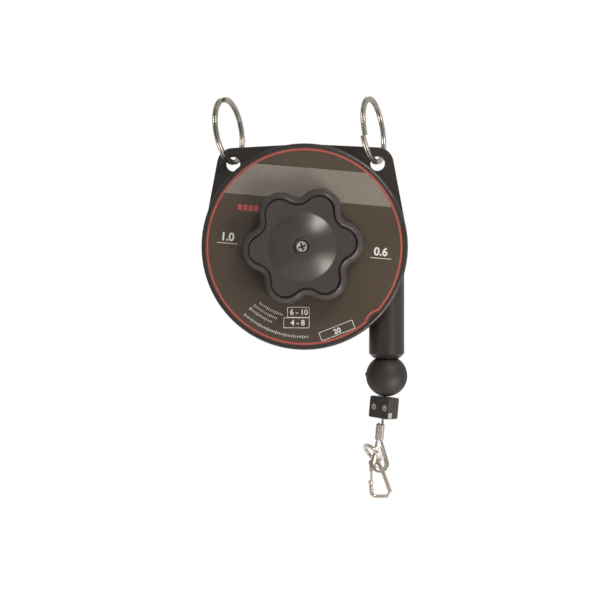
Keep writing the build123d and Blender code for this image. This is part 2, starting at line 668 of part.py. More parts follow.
def eye_rope():
    """The rope through the ball and clamp, round the eye and back into the ferrule."""
    x, y = eye_tangent()
    ball = (BALL_FRAME * Pos(0, -SEAT, 0)).position
    stub = (BALL_FRAME * Pos(-ROPE_PAIR, ROPE_STUB - FERRULE_DROP, 0)).position
    down = FilletPolyline(ball, in_eye(ROPE_PAIR / 2, 0), in_eye(x, y), radius=KINK_R)
    bend = ThreePointArc(in_eye(x, y), in_eye(0, -EYE_DROP - EYE_R), in_eye(-x, y))
    back = FilletPolyline(in_eye(-x, y), in_eye(-ROPE_PAIR / 2, 0), stub, radius=KINK_R)
    path = Wire(list(down.edges()) + [bend] + list(back.edges()))
    return sweep(Plane(origin=path @ 0, z_dir=path % 0) * Circle(ROPE_R), path=path)


def stop_ball():
    """The rubber ball that stops against the guide's dish."""
    bore = ROPE_R + SEAT
    flare = bore + BALL_R * math.tan(math.radians(abs(ROPE_LEAN)))
    upper = post(bore, 0, 0, 0, 2 * BALL_R)
    lower = Rot(90, 0, 0) * Cone(bore, flare, BALL_R, align=LOW)
    return Pos(PITCH_R, -BALL_DROP, SPOUT_Z) * (Sphere(BALL_R) - (upper + lower))


def clamp_frame():
    """The middle of the clamp, square to its own faces."""
    return BALL_FRAME * Pos(0, -CLAMP_DROP, 0) * Rot(0, CLAMP_YAW, 0)


def clamp_half(side):
    """One half of the clamp's block, with its rope groove and screw holes."""
    depth = CLAMP_DEPTH / 2 - CLAMP_SPLIT / 2
    half = slab(CLAMP_WIDTH, CLAMP_HEIGHT, depth)
    uprights = half.edges().filter_by(Axis.Z)
    half = fillet(uprights, CLAMP_ROUND)
    outer = half.faces().sort_by(Axis.Z)[-1 if side > 0 else 0].edges()
    half = fillet(outer, CLAMP_ROUND / 2)
    half = Pos(0, 0, side * (depth + CLAMP_SPLIT) / 2) * half
    half = half - post(ROPE_R + SEAT, 0, 0, -CLAMP_HEIGHT, CLAMP_HEIGHT)
    for x in (-CLAMP_SCREW_PITCH / 2, CLAMP_SCREW_PITCH / 2):
        half = half - Pos(x, 0, 0) * Cylinder(CLAMP_SCREW_R + SLIP, 0.9 * CLAMP_DEPTH)
    return half


def clamp_front():
    """The front half: counterbores for the screws and a slot for the steel bar."""
    half = clamp_half(1)
    well = Pos(0, 0, CLAMP_DEPTH / 2 - CLAMP_HEAD - 4 * SEAT) * Cylinder(CLAMP_HEAD_R + SEAT, 3, align=LOW)
    for x in (-CLAMP_SCREW_PITCH / 2, CLAMP_SCREW_PITCH / 2):
        half = half - Pos(x, 0, 0) * well
    return clamp_frame() * (half - bar_space(SEAT))


def bar_space(extra):
    """The steel bar across the clamp, open at the right side."""
    height = BAR_HEIGHT + 2 * extra
    low = ROPE_R + 2 * SEAT
    y = -CLAMP_HEIGHT / 2 + BAR_FLOOR + BAR_HEIGHT / 2
    reach = CLAMP_WIDTH - CLAMP_ROUND
    bar = slab(reach, height, BAR_DEPTH + 2 * extra, (CLAMP_ROUND / 2 - 0.1, y, low + BAR_DEPTH / 2))
    return bar if extra == 0 else bar + Pos(CLAMP_ROUND, 0, 0) * bar


def clamp_back():
    """The rear half of the clamp's block."""
    return clamp_frame() * clamp_half(-1)


def clamp_bar():
    """The steel bar that bears on the rope."""
    return clamp_frame() * bar_space(0)


def clamp_screws():
    """Two socket screws that draw the clamp's halves together."""
    screws = []
    top = CLAMP_DEPTH / 2 - 4 * SEAT
    shank = Pos(0, 0, top - CLAMP_DEPTH + 2) * Cylinder(CLAMP_SCREW_R, CLAMP_DEPTH - 2.5, align=LOW)
    head = Pos(0, 0, top - CLAMP_HEAD) * Cylinder(CLAMP_HEAD_R, CLAMP_HEAD, align=LOW)
    socket = Pos(0, 0, top - 2 * CLAMP_HEAD / 3) * extrude(RegularPolygon(CLAMP_SOCKET_R, 6), CLAMP_HEAD)
    for x in (-CLAMP_SCREW_PITCH / 2, CLAMP_SCREW_PITCH / 2):
        screws.append(Pos(x, 0, 0) * (shank + head - socket))
    return clamp_frame() * Compound(children=screws)


def rope_ferrule():
    """The pressed sleeve that joins the rope to its own end."""
    outline = SlotOverall(FERRULE_WIDTH, FERRULE_DEPTH)
    sleeve = extrude(outline, FERRULE_LENGTH)
    rims = sleeve.edges().group_by(Axis.Z)
    sleeve = fillet(rims[0] + rims[-1], FERRULE_GROOVE_R)
    for x in (-ROPE_PAIR / 2, ROPE_PAIR / 2):
        sleeve = sleeve - Pos(x, 0, -1) * Cylinder(ROPE_R + SEAT, FERRULE_LENGTH + 2, align=LOW)
    margin = 3 * FERRULE_GROOVE_R
    groove = Cylinder(FERRULE_GROOVE_R, FERRULE_LENGTH - 2 * margin, align=LOW)
    for x in (-ROPE_PAIR / 4, ROPE_PAIR / 4 + GAP):
        sleeve = sleeve - Pos(x, FERRULE_DEPTH / 2 + SEAT, margin) * groove
    return FERRULE_END * Rot(-90, 0, 0) * Rot(0, 0, 180) * sleeve


def eye_face(grow):
    """The teardrop inside the rope's centre line, grown or shrunk by an offset."""
    x, y = eye_tangent()
    arc = ThreePointArc((x, y), (0, -EYE_DROP - EYE_R), (-x, y))
    top = ROPE_PAIR / 2
    legs = [Line((top, 0), (x, y)), Line((-x, y), (-top, 0)), Line((-top, 0), (top, 0))]
    return offset(make_face(legs + [arc]), grow)


def eye_thimble():
    """The grooved teardrop liner that the rope's eye lies in."""
    half = THIMBLE_WIDTH / 2
    liner = extrude(eye_face(THIMBLE_OUT), half, both=True)
    liner = liner - extrude(eye_face(-ROPE_R - THIMBLE_IN), half + 1, both=True)
    groove_r = ROPE_R + SLIP
    groove = extrude(eye_face(THIMBLE_OUT + 2), groove_r, both=True)
    groove = groove - extrude(eye_face(-groove_r), groove_r + 1, both=True)
    liner = liner - groove
    keep = slab(6 * EYE_R, EYE_DROP + 2 * EYE_R, 4 * half, (0, -EYE_DROP / 2 - EYE_R - 3.5, 0))
    return EYE_FRAME * (liner & keep)


# Snap hook

def hook_frame():
    """The hook hangs from the rope's eye, square to the view, a little behind it."""
    return Pos(EYE_FRAME.position)


def hook_plate():
    """The flat head that joins the hook's eye, shank and gate hinge."""
    run = math.hypot(HOOK_TOP[0] - GATE_PIVOT[0], HOOK_TOP[1] - GATE_PIVOT[1])
    turn = math.degrees(math.atan2(HOOK_TOP[1] - GATE_PIVOT[1], HOOK_TOP[0] - GATE_PIVOT[0]))
    face = Pos(*GATE_PIVOT) * Rot(0, 0, turn) * Pos(run / 2, 0) * SlotCenterToCenter(run, 2 * GATE_BOSS_R)
    return Pos(0, 0, -HOOK_SET_BACK) * extrude(face, HOOK_PLATE / 2, both=True)


def snap_hook():
    """The hook's eye, shank, bow and nose, bent from round stock."""
    spots = [HOOK_TOP, HOOK_KNEE, HOOK_TOE, HOOK_HEEL, HOOK_NOSE]
    path = FilletPolyline(*[(x, y, -HOOK_SET_BACK) for x, y in spots], radius=HOOK_BEND_R)
    bow = sweep(Plane(origin=path @ 0, z_dir=path % 0) * Circle(HOOK_R), path=path)
    nub = Pos(*HOOK_NOSE, -HOOK_SET_BACK) * Sphere(NUB_R)
    shoulder = Pos(*HOOK_TOP, -HOOK_SET_BACK) * Sphere(HOOK_R)
    eye = Plane(origin=HOOK_EYE_CENTRE, z_dir=HOOK_EYE_NORMAL) * Torus(HOOK_EYE_R, HOOK_R)
    body = hook_plate() + bow + nub + shoulder + eye
    return hook_frame() * (body - Pos(*GATE_PIVOT, -HOOK_SET_BACK) * Cylinder(GATE_PIN_R + RUN, 8))


def gate_pin():
    """The rivet that the gate turns on."""
    length = HOOK_PLATE + 2 * SEAT + 2 * GATE_SHEET + GAP
    return hook_frame() * Pos(*GATE_PIVOT, -HOOK_SET_BACK) * Cylinder(GATE_PIN_R, length)


def hook_gate():
    """The gate: two ears on the rivet and a tongue that closes on the nose."""
    length = GATE_PIVOT[1] - HOOK_NOSE[1] - NUB_R - SEAT
    inner = HOOK_PLATE + 2 * SEAT
    outer = inner + 2 * GATE_SHEET
    neck = GATE_BOSS_R + GATE_RELIEF
    ears = extrude(SlotCenterToCenter(2 * neck, 2 * (GATE_PIN_R + GATE_SHEET)), outer / 2, both=True)
    ears = Pos(0, -neck, 0) * Rot(0, 0, 90) * ears
    ears = ears - slab(4 * neck, 4 * neck, inner, (0, neck, 0))
    tongue = slab(GATE_TONGUE, length - neck - GATE_SHEET, outer, (0, -(length + neck + GATE_SHEET) / 2, 0))
    gate = ears + tongue - Cylinder(GATE_PIN_R + RUN, 2 * outer)
    return hook_frame() * Pos(*GATE_PIVOT, -HOOK_SET_BACK) * gate


# Split rings

def split_ring(side):
    """A split ring: two close turns of flat wire through one hanging hole."""
    mean = RING_R - RING_WIRE / 2
    pitch = RING_TURN + SLIP
    path = Helix(pitch, 2 * pitch, mean)
    section = Plane(origin=path @ 0, x_dir=(1, 0, 0), z_dir=path % 0) * Rectangle(RING_WIRE, RING_TURN)
    coil = Pos(0, 0, -pitch) * sweep(section, path=path, is_frenet=True)
    x, y = polar(mean, 90 + RING_LEAN)
    centre = (side * LUG_X + x, HANG_RISE + RING_LIFT + y, 0)
    across, along = polar(math.cos(math.radians(RING_YAW)), RING_LEAN)
    normal = (across, along, math.sin(math.radians(RING_YAW)))
    place = Plane(origin=centre, x_dir=(x, y, 0), z_dir=normal)
    return place * Rot(0, 0, 10 if side < 0 else 100) * coil


os.makedirs("parts", exist_ok=True)
save("rear_casing", rear_casing())
save("front_cover", front_cover())
save("label_plate", label_plate())
save("casing_screws", casing_screws())
save("rear_bush", rear_bush())
save("front_bush", front_bush())
save("brake_ring", brake_ring())
save("guide_nozzle", guide_nozzle())
save("rope_drum", rope_drum())
save("drum_cover", drum_cover())
save("drum_screws", drum_screws())
save("drum_bushes", drum_bushes())
save("power_spring", power_spring())
save("wound_rope", wound_rope())
save("rope_anchor", rope_anchor())
save("arbor_shaft", arbor_shaft())
save("knob_sleeve", knob_sleeve())
save("wrap_spring", wrap_spring())
save("drum_clip", drum_clip())
save("tension_knob", tension_knob())
save("knob_washer", knob_washer())
save("knob_screw", knob_screw())
save("rope_span", rope_span())
save("eye_rope", eye_rope())
save("stop_ball", stop_ball())
save("clamp_front", clamp_front())
save("clamp_back", clamp_back())
save("clamp_bar", clamp_bar())
save("clamp_screws", clamp_screws())
save("rope_ferrule", rope_ferrule())
save("eye_thimble", eye_thimble())
save("snap_hook", snap_hook())
save("gate_pin", gate_pin())
save("hook_gate", hook_gate())
save("ring_left", split_ring(-1))
save("ring_right", split_ring(1))
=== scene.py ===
import json
import math

import bmesh
import bpy
from mathutils import Matrix, Vector


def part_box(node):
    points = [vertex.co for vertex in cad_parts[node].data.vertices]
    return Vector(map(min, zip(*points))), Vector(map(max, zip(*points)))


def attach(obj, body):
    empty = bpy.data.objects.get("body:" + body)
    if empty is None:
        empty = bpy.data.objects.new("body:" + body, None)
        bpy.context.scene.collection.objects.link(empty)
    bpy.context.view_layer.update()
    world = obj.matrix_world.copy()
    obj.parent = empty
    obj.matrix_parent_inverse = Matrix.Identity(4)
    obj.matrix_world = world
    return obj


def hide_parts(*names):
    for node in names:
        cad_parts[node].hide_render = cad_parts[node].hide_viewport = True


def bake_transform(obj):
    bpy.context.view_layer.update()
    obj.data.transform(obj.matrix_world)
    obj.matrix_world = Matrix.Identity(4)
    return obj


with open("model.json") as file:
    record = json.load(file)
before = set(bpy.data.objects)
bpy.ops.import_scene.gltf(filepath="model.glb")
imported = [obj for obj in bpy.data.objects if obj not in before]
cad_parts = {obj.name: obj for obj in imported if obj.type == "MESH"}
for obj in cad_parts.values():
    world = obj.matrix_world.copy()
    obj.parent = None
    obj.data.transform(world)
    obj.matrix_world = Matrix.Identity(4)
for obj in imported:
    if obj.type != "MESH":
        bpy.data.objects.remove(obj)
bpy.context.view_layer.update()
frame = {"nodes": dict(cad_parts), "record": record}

bl_info = {
    "name": "Tool Balancer Finish",
    "version": (1, 0, 0),
    "blender": (4, 5, 0),
    "location": "3D View > Sidebar > Balancer",
    "description": "Finishes and fine pieces for a tool balancer, over its packed solids",
    "category": "Object",
}

# Places read from the frame are in metres. The sizes below are in millimetres and degrees.
MM = 0.001


def turned(angle, axis):
    """A turn about one axis."""
    return Matrix.Rotation(math.radians(angle), 4, axis)


def shifted(x, y, z):
    """A shift in millimetres."""
    return Matrix.Translation(Vector((x, y, z)) * MM)


# The label plate's box gives the drum's axis, and its front face is the plane of the print.
PLATE_LOW, PLATE_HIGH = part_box("label_plate")
AXIS = Vector((0, 0, (PLATE_LOW.z + PLATE_HIGH.z) / 2))
PRINT_Y = PLATE_LOW.y
# In the drum's frame x is right, y is up and z is towards the viewer.
DRUM = Matrix.Translation(AXIS) @ turned(90, "X")
PLATE = DRUM @ Matrix.Translation((0, 0, -PRINT_Y))

# The ball's frame leans with the rope end. The eye's frame lies in it, under the ferrule.
BALL_LOW, BALL_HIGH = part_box("stop_ball")
BALL_CENTRE = (BALL_LOW + BALL_HIGH) / 2
BALL_LEAN = -5
BALL_FRAME = Matrix.Translation(BALL_CENTRE) @ turned(90, "X") @ turned(BALL_LEAN, "Z")
ROPE_PAIR = 2.2
FERRULE_LOW = -37.9
STUB_TOP = -27.7
FERRULE_GRIP = 2.5
EYE_LEAN = 7
EYE_FRAME = BALL_FRAME @ shifted(-ROPE_PAIR / 2, FERRULE_LOW, 0) @ turned(EYE_LEAN, "Z")

# Rope and its eye, which wraps past half a turn by EYE_WRAP on each side
ROPE_LAY = 8.0
ROPE_STEP = 0.6
EYE_STEP = 0.45
STRAND_SWELL = 1.06
EYE_NECK = 0.6
EYE_SPREAD = 0.25
EYE_DROP = 14.4
EYE_R = 4.6
EYE_WRAP = 14.2
EYE_CUTS = 36

# Eye liner: half widths of its section, outside and in its groove
LINER_TOP = -3.5
LINER_LIP = 0.3
LINER_STEP = 0.5
LINER_CUTS = 12
GROOVE_CUTS = 8
LINER_OUTSIDE = (1.9, 1.25)
LINER_GROOVE = (1.15, 0.8)

# Stop ball's marks
SEAM_SINK = 0.12
SEAM_R = 0.22
SEAM_CUTS = 128
SEAM_LEAN = 4
GATE_LOW_R = 1.5
GATE_HIGH_R = 1.1
GATE_HEIGHT = 1.6
GATE_BEVEL = 0.3
GATE_SINK = 0.35
GATE_TURN = -86

# Clamp's screws, in the ball's frame
CLAMP_DROP = 18.7
CLAMP_DEPTH = 10.1
CLAMP_YAW = -35
CLAMP_SCREW_PITCH = 7.8
CLAMP_HEAD_R = 2.0
# The rings round the screws are painted shade, dark where the sunk screws' recesses are shaded
SCREW_RIM_OUT = 0.15
SCREW_RIM_R = 0.22

# Spout's joint line, over the collar
COLLAR = 5.8
JOINT_SINK = 0.02
JOINT_R = 0.16

# Split rings
RING_TURN_R = 18.6
RING_PITCH = 1.35
RING_TURNS = 2
RING_CUTS = 192
RING_WIDE = 2.8
RING_THICK = 1.15
RING_ROUND = 0.42
RING_CENTRES = {"left": (-44.988, 0, 19.419), "right": (39.810, 0, 19.419)}
RING_UP = Vector((-0.1392, 0, 0.9903))
RING_NORMAL = Vector((0.9495, -0.2840, 0.1334))
RING_START = {"left": 10, "right": 100}

# Knob, in the drum's frame
LOBES = 6
LOBE_TURN = 5
LOBE_REACH = 35.6
LOBE_CUTS = 18
VALLEY_REACH = 28.6
VALLEY_R = 5.0
VALLEY_CUTS = 12
KNOB_BACK = 12.5
KNOB_FACE = 24.5
KNOB_CEILING = 22.0
KNOB_WALL = 2.6
KNOB_EDGE = 0.3
DOME_R = 19.9
DOME_RISE = 6.2
DOME_SWELL = 1.8
WELL_R = 5.0
WELL_FLOOR = 22.2
HUB_R = 11.0
HUB_BACK = 12.6
SLEEVE_BORE_R = 8.0
SLEEVE_SEAT = 19.7
SCREW_BORE_R = 2.3
# The rim's cuts: how far in from the outline, and how high
KNOB_RIM = (
    (KNOB_WALL, KNOB_BACK + KNOB_EDGE), (KNOB_WALL - KNOB_EDGE, KNOB_BACK), (KNOB_EDGE, KNOB_BACK),
    (0.0, KNOB_BACK + KNOB_EDGE), (0.1, 18.5), (0.4, 21.4), (0.8, 22.8), (1.4, 23.9), (2.1, 24.7),
    (2.7, 25.15), (2.95, 25.36), (3.2, 25.46), (3.45, 25.5), (3.7, 25.42), (3.85, 25.2), (3.95, 24.7),
    (4.0, 24.0), (4.15, 23.6), (4.4, 23.5), (4.6, 23.6), (4.75, 23.9), (4.85, 24.25),
    (5.0, KNOB_FACE), (5.25, KNOB_FACE),
)
# Radius and height of the flat cuts round the dome, then the dome's radii
DOME_FOOT = ((DOME_R + 0.6, KNOB_FACE), (DOME_R + 0.2, KNOB_FACE))
DOME_CUTS = (DOME_R, 19.0, 17.5, 15.5, 13.0, 10.5, 8.0, WELL_R + 0.7)
# The well's rounded mouth: how far out from its wall, and how far down from the dome
WELL_MOUTH = ((0.3, 0.05), (0.08, 0.25), (0.0, 0.6))
# Radius and height of the well, the screw's bore, the sleeve's bore and the hub
KNOB_BORE = (
    (WELL_R, WELL_FLOOR), (SCREW_BORE_R, WELL_FLOOR), (SCREW_BORE_R, SLEEVE_SEAT),
    (SLEEVE_BORE_R, SLEEVE_SEAT), (SLEEVE_BORE_R, HUB_BACK), (HUB_R, HUB_BACK), (HUB_R, KNOB_CEILING),
)
RIB_OUT = 22.0
RIB_LENGTH = 22.6
RIB_WIDE = 1.8
RIB_MIDDLE = 18.2
RIB_HALF = 3.95

# Knob screw's painted shade: from the crown's edge outwards, and down into its cross
SCREW_CROWN_R = 2.9
SCREW_EDGE = 0.4
CROSS_TOP = 0.3
CROSS_DEEP = 0.8

# Print on the label plate
PRINT_HALF = 0.03
NUMBER_BOLD = 0.025
LINE_BLUR = 0.12
SIDE_NUMBER = 6.6
SIDE_NUMBERS = (("1.0", -44.6, 5.6), ("0.6", 44.6, -3.2))
UNDERLINE = (12.0, 0.35)
UNDERLINE_DROP = 3.6
# Text, size, place and turn
LOWER_NUMBERS = (
    ("6 - 10", 4.4, -2.9, -38.2, 0),
    ("4 - 8", 4.4, -3.6, -44.3, 0),
    ("20", 4.2, 19.4, -48.9, 21),
)
FRAME_LINE = 0.3
# Place, width, height and turn
NUMBER_FRAMES = ((-3.2, -38.1, 12.6, 5.8, 0), (-4.3, -44.2, 14.8, 5.8, 0), (19.2, -48.6, 20.6, 5.0, 21.5))
# Radius, first angle and last angle
SCALE_ROWS = ((52.4, 229, 274), (47.6, 229, 249), (44.6, 230, 251), (41.6, 232, 254))
SCALE_STEP = 1.05
MARK_WIDE = 0.32
LONG_MARK = 1.9
SHORT_MARK = 1.2
LONG_EVERY = 5
RED_MARKS = 4
RED_SIZE = (2.4, 3.4)
RED_START = (-37.3, 23.0)
RED_STEP = (3.2, -0.28)

# Stage, in metres
FLOOR_Z = -2.35
FLOOR_R = 4.0
FLOOR_COLOUR = (0.86, 0.86, 0.85, 1)
FLOOR_SHOWN = 0.93
ROOM_COLOUR = (1, 0.985, 0.965, 1)
WHITE = (1, 1, 1, 1)
# Name, place, size, power and colour
LAMPS = (
    ("key", (0.39, -0.62, 0.63), 0.38, 6.0, (1, 0.97, 0.92)),
    ("low", (0.62, -0.59, -0.57), 0.42, 7.5, (1, 0.94, 0.86)),
    ("fill", (-0.70, -1.10, 0.10), 1.60, 2.5, (0.95, 0.97, 1)),
)
# The camera's frame is FRAME_WIDE across at the label, and its sensor is in millimetres.
SENSOR = 36
FRAME_WIDE = 0.348
FRAME_SHIFT = -0.089
AIM_X = -0.0031
NEAR = 0.01

# A Mix node's sockets for its two colours and their mix
MIX_LOW, MIX_HIGH, MIX_RESULT = 6, 7, 2

FINISHES = {}

# Solids with another finish than the one that the record names
OTHER_FINISH = {"knob_screw": "knob_screw", "hook_gate": "zinc", "gate_pin": "nickel", "clamp_bar": "zinc"}


# Node tools

def node(tree, kind, **values):
    """A new shader node with its settings and unlinked sockets set."""
    made = tree.nodes.new(kind)
    for key, value in values.items():
        if hasattr(made, key):
            setattr(made, key, value)
        else:
            made.inputs[key.replace("_", " ")].default_value = value
    return made


def maths(tree, operation, first, second=None, third=None):
    """A math node fed by sockets or plain numbers."""
    made = node(tree, "ShaderNodeMath", operation=operation)
    for index, value in enumerate((first, second, third)):
        if isinstance(value, (int, float)):
            made.inputs[index].default_value = value
        elif value is not None:
            tree.links.new(value, made.inputs[index])
    return made.outputs[0]


def mixed(tree, mask, low, high):
    """Two colours, or sockets that give them, mixed by a mask."""
    made = node(tree, "ShaderNodeMix", data_type="RGBA")
    tree.links.new(mask, made.inputs[0])
    for index, value in ((MIX_LOW, low), (MIX_HIGH, high)):
        if isinstance(value, tuple):
            made.inputs[index].default_value = (*value, 1)
        else:
            tree.links.new(value, made.inputs[index])
    return made.outputs[MIX_RESULT]


def ramp(tree, value, low, high, start=0.0, end=1.0):
    """A value in the range start to end, spread from low to high and held at its ends."""
    made = tree.nodes.new("ShaderNodeMapRange")
    tree.links.new(value, made.inputs[0])
    for index, number in enumerate((start, end, low, high), 1):
        made.inputs[index].default_value = number
    return made.outputs[0]


def shade(colour, factor, lift=0.0):
    """A colour made darker or lighter."""
    return tuple(min(1, value * factor + lift) for value in colour)


def new_group(name, inputs, outputs):
    """An empty node group that takes a vector and named floats."""
    group = bpy.data.node_groups.new(name, "ShaderNodeTree")
    group.interface.new_socket(name="Vector", in_out="INPUT", socket_type="NodeSocketVector")
    for title, value in inputs.items():
        socket = group.interface.new_socket(name=title, in_out="INPUT", socket_type="NodeSocketFloat")
        socket.default_value = value
    for title in outputs:
        group.interface.new_socket(name=title, in_out="OUTPUT", socket_type="NodeSocketFloat")
    start = group.nodes.new("NodeGroupInput")
    end = group.nodes.new("NodeGroupOutput")
    return group, start.outputs, end.inputs


def grain_group():
    """Fine moulded or sprayed grain, with broad soft patches over it."""
    sizes = {"Grain": 1500.0, "Patch": 40.0}
    group, start, end = new_group("Surface grain", sizes, ("Height", "Patches"))
    fine = node(group, "ShaderNodeTexNoise", Detail=3.0, Roughness=0.6)
    broad = node(group, "ShaderNodeTexNoise", Detail=4.0, Roughness=0.55)
    for tex, scale in ((fine, "Grain"), (broad, "Patch")):
        group.links.new(start["Vector"], tex.inputs["Vector"])
        group.links.new(start[scale], tex.inputs["Scale"])
    group.links.new(fine.outputs[0], end["Height"])
    group.links.new(ramp(group, broad.outputs[0], low=0, high=1, start=0.35, end=0.65), end["Patches"])
    return group


def scratch_lines(group, start, angle):
    """Thin scratches that run in one direction."""
    turn = node(group, "ShaderNodeMapping", vector_type="TEXTURE", Rotation=(0.1, angle, 0.1))
    turn.inputs["Scale"].default_value = (1, 0.04, 0.04)
    tex = node(group, "ShaderNodeTexNoise", Detail=2.0)
    group.links.new(start["Vector"], turn.inputs["Vector"])
    group.links.new(turn.outputs[0], tex.inputs["Vector"])
    group.links.new(start["Scale"], tex.inputs["Scale"])
    return ramp(group, tex.outputs[0], low=0, high=1, start=0.68, end=0.76)


def scuff_group():
    """Thin handling scratches in two directions, and smudges."""
    sizes = {"Scale": 60.0, "Amount": 0.3}
    group, start, end = new_group("Handling marks", sizes, ("Scratches", "Smudges"))
    lines = [scratch_lines(group, start, angle) for angle in (0.5, 2.1)]
    both = maths(group, "MAXIMUM", *lines)
    group.links.new(maths(group, "MULTIPLY", both, start["Amount"]), end["Scratches"])
    smudge = node(group, "ShaderNodeTexNoise", Scale=25.0, Detail=5.0, Distortion=0.6)
    group.links.new(start["Vector"], smudge.inputs["Vector"])
    group.links.new(ramp(group, smudge.outputs[0], low=0, high=1, start=0.4, end=0.7), end["Smudges"])
    return group


def placed(tree, group, place, values):
    """A shared node group placed in a material with its own values."""
    made = node(tree, "ShaderNodeGroup", node_tree=group)
    tree.links.new(place, made.inputs["Vector"])
    for key, value in values.items():
        made.inputs[key].default_value = value
    return made.outputs


def grain(tree, place, **values):
    """The surface grain in a material, with its group built once."""
    group = bpy.data.node_groups.get("Surface grain") or grain_group()
    return placed(tree, group, place, values)


def scuffs(tree, place, **values):
    """The handling marks in a material, in the same way."""
    group = bpy.data.node_groups.get("Handling marks") or scuff_group()
    return placed(tree, group, place, values)


def start_material(name):
    """A material with its shader and a reading of the object's own coordinates."""
    made = bpy.data.materials.new(name)
    made.use_nodes = True
    tree = made.node_tree
    shader = tree.nodes["Principled BSDF"]
    place = tree.nodes.new("ShaderNodeTexCoord").outputs["Object"]
    return made, tree, shader, place


def bump(tree, shader, height, relief):
    """Relief of a depth in millimetres from a height, fed to the shader."""
    made = node(tree, "ShaderNodeBump", Strength=1.0, Distance=relief * MM)
    tree.links.new(height, made.inputs["Height"])
    tree.links.new(made.outputs[0], shader.inputs["Normal"])


def from_axis(tree, place):
    """The x, y and z of a place, with z measured from the drum's axis."""
    centre = node(tree, "ShaderNodeVectorMath", operation="SUBTRACT")
    centre.inputs[1].default_value = AXIS
    tree.links.new(place, centre.inputs[0])
    split = tree.nodes.new("ShaderNodeSeparateXYZ")
    tree.links.new(centre.outputs[0], split.inputs[0])
    return split.outputs


def distance(tree, x, z, from_x=0.0, from_z=0.0):
    """How far a place lies from a point, seen from the front."""
    across = maths(tree, "POWER", maths(tree, "SUBTRACT", x, from_x), 2.0)
    up = maths(tree, "POWER", maths(tree, "SUBTRACT", z, from_z), 2.0)
    return maths(tree, "SQRT", maths(tree, "ADD", across, up))


# Finishes

def coated(name, colour, rough, grain_scale, relief, patch=0.12, coat=0.0):
    """A painted or moulded finish with grain, soft patches and handling marks."""
    made, tree, shader, place = start_material(name)
    grained = grain(tree, place, Grain=grain_scale)
    marks = scuffs(tree, place, Amount=0.35)
    paler = shade(colour, 1.35, lift=0.01)
    body = mixed(tree, grained["Patches"], shade(colour, 1 - patch), shade(colour, 1 + patch))
    speckle = ramp(tree, grained["Height"], low=0, high=0.5, start=0.5, end=0.8)
    body = mixed(tree, speckle, body, paler)
    body = mixed(tree, marks["Scratches"], body, paler)
    tree.links.new(body, shader.inputs["Base Color"])
    tree.links.new(ramp(tree, marks["Smudges"], rough - 0.05, rough + 0.07), shader.inputs["Roughness"])
    shader.inputs["Coat Weight"].default_value = coat
    shader.inputs["Coat Roughness"].default_value = 0.25
    bump(tree, shader, grained["Height"], relief)
    return made


def metal(name, colour, rough, stretch=(1, 1, 1), relief=0.01, tarnish=0.25, metallic=1.0):
    """A plated or turned metal with fine lines, soft tarnish and scratches."""
    made, tree, shader, place = start_material(name)
    turn = tree.nodes.new("ShaderNodeMapping")
    turn.inputs["Scale"].default_value = stretch
    tree.links.new(place, turn.inputs["Vector"])
    grained = grain(tree, turn.outputs[0], Grain=900.0, Patch=90.0)
    marks = scuffs(tree, place, Scale=120.0, Amount=0.5)
    body = mixed(tree, grained["Patches"], colour, shade(colour, 1 - tarnish))
    body = mixed(tree, marks["Scratches"], body, shade(colour, 1.15))
    tree.links.new(body, shader.inputs["Base Color"])
    shader.inputs["Metallic"].default_value = metallic
    spread = maths(tree, "MULTIPLY_ADD", marks["Smudges"], 0.1, rough)
    tree.links.new(spread, shader.inputs["Roughness"])
    bump(tree, shader, grained["Height"], relief)
    return made


def screw_material():
    """Bright zinc on the knob screw's crown, with dark painted shade in its cross and round its edge."""
    made = metal("knob screw zinc", (0.92, 0.9, 0.86), rough=0.38)
    tree = made.node_tree
    shader = tree.nodes["Principled BSDF"]
    bright = shader.inputs["Base Color"].links[0].from_socket
    spot = from_axis(tree, tree.nodes["Texture Coordinate"].outputs["Object"])
    out = distance(tree, spot["X"], spot["Z"])
    edge = ramp(tree, out, low=0, high=1, start=SCREW_CROWN_R * MM, end=(SCREW_CROWN_R + SCREW_EDGE) * MM)
    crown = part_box("knob_screw")[0].y
    sunk = ramp(tree, spot["Y"], low=0, high=1, start=crown + CROSS_TOP * MM, end=crown + CROSS_DEEP * MM)
    # Painted shade: the ring round the crown and the cross below its top go dark and lose their metal,
    # where the well and the slots are shaded
    painted_shade = maths(tree, "MAXIMUM", edge, sunk)
    tree.links.new(mixed(tree, painted_shade, bright, (0.03, 0.027, 0.025)), shader.inputs["Base Color"])
    tree.links.new(ramp(tree, painted_shade, low=0.75, high=0.0), shader.inputs["Metallic"])
    return made


def rope_material():
    """Drawn steel wire, darker in bands between the wires, and with dark patches of grease."""
    made, tree, shader, place = start_material("wire rope")
    turn = node(tree, "ShaderNodeMapping", Rotation=(0.4, 0.3, 0))
    tree.links.new(place, turn.inputs["Vector"])
    wires = node(tree, "ShaderNodeTexWave", bands_direction="Z", Scale=1600.0, Distortion=0.4, Detail=1.0)
    tree.links.new(turn.outputs[0], wires.inputs["Vector"])
    grained = grain(tree, place, Grain=2500.0, Patch=300.0)
    body = mixed(tree, wires.outputs["Fac"], (0.2, 0.2, 0.19), (0.62, 0.61, 0.59))
    greasy = maths(tree, "MULTIPLY", grained["Patches"], 0.3)
    body = mixed(tree, greasy, body, (0.16, 0.15, 0.14))
    tree.links.new(body, shader.inputs["Base Color"])
    shader.inputs["Metallic"].default_value = 0.9
    tree.links.new(ramp(tree, grained["Patches"], low=0.3, high=0.5), shader.inputs["Roughness"])
    bump(tree, shader, wires.outputs["Fac"], relief=0.04)
    return made


def past_line(tree, look, x, z):
    """How far a place lies past the printed line, which follows the label's edge and its notch."""
    notch_x = look.notch_centre * math.cos(look.notch_angle)
    notch_z = look.notch_centre * math.sin(look.notch_angle)
    out = maths(tree, "SUBTRACT", distance(tree, x, z), look.line_radius)
    bite = maths(tree, "SUBTRACT", look.notch_radius, distance(tree, x, z, notch_x, notch_z))
    return maths(tree, "MAXIMUM", out, bite)


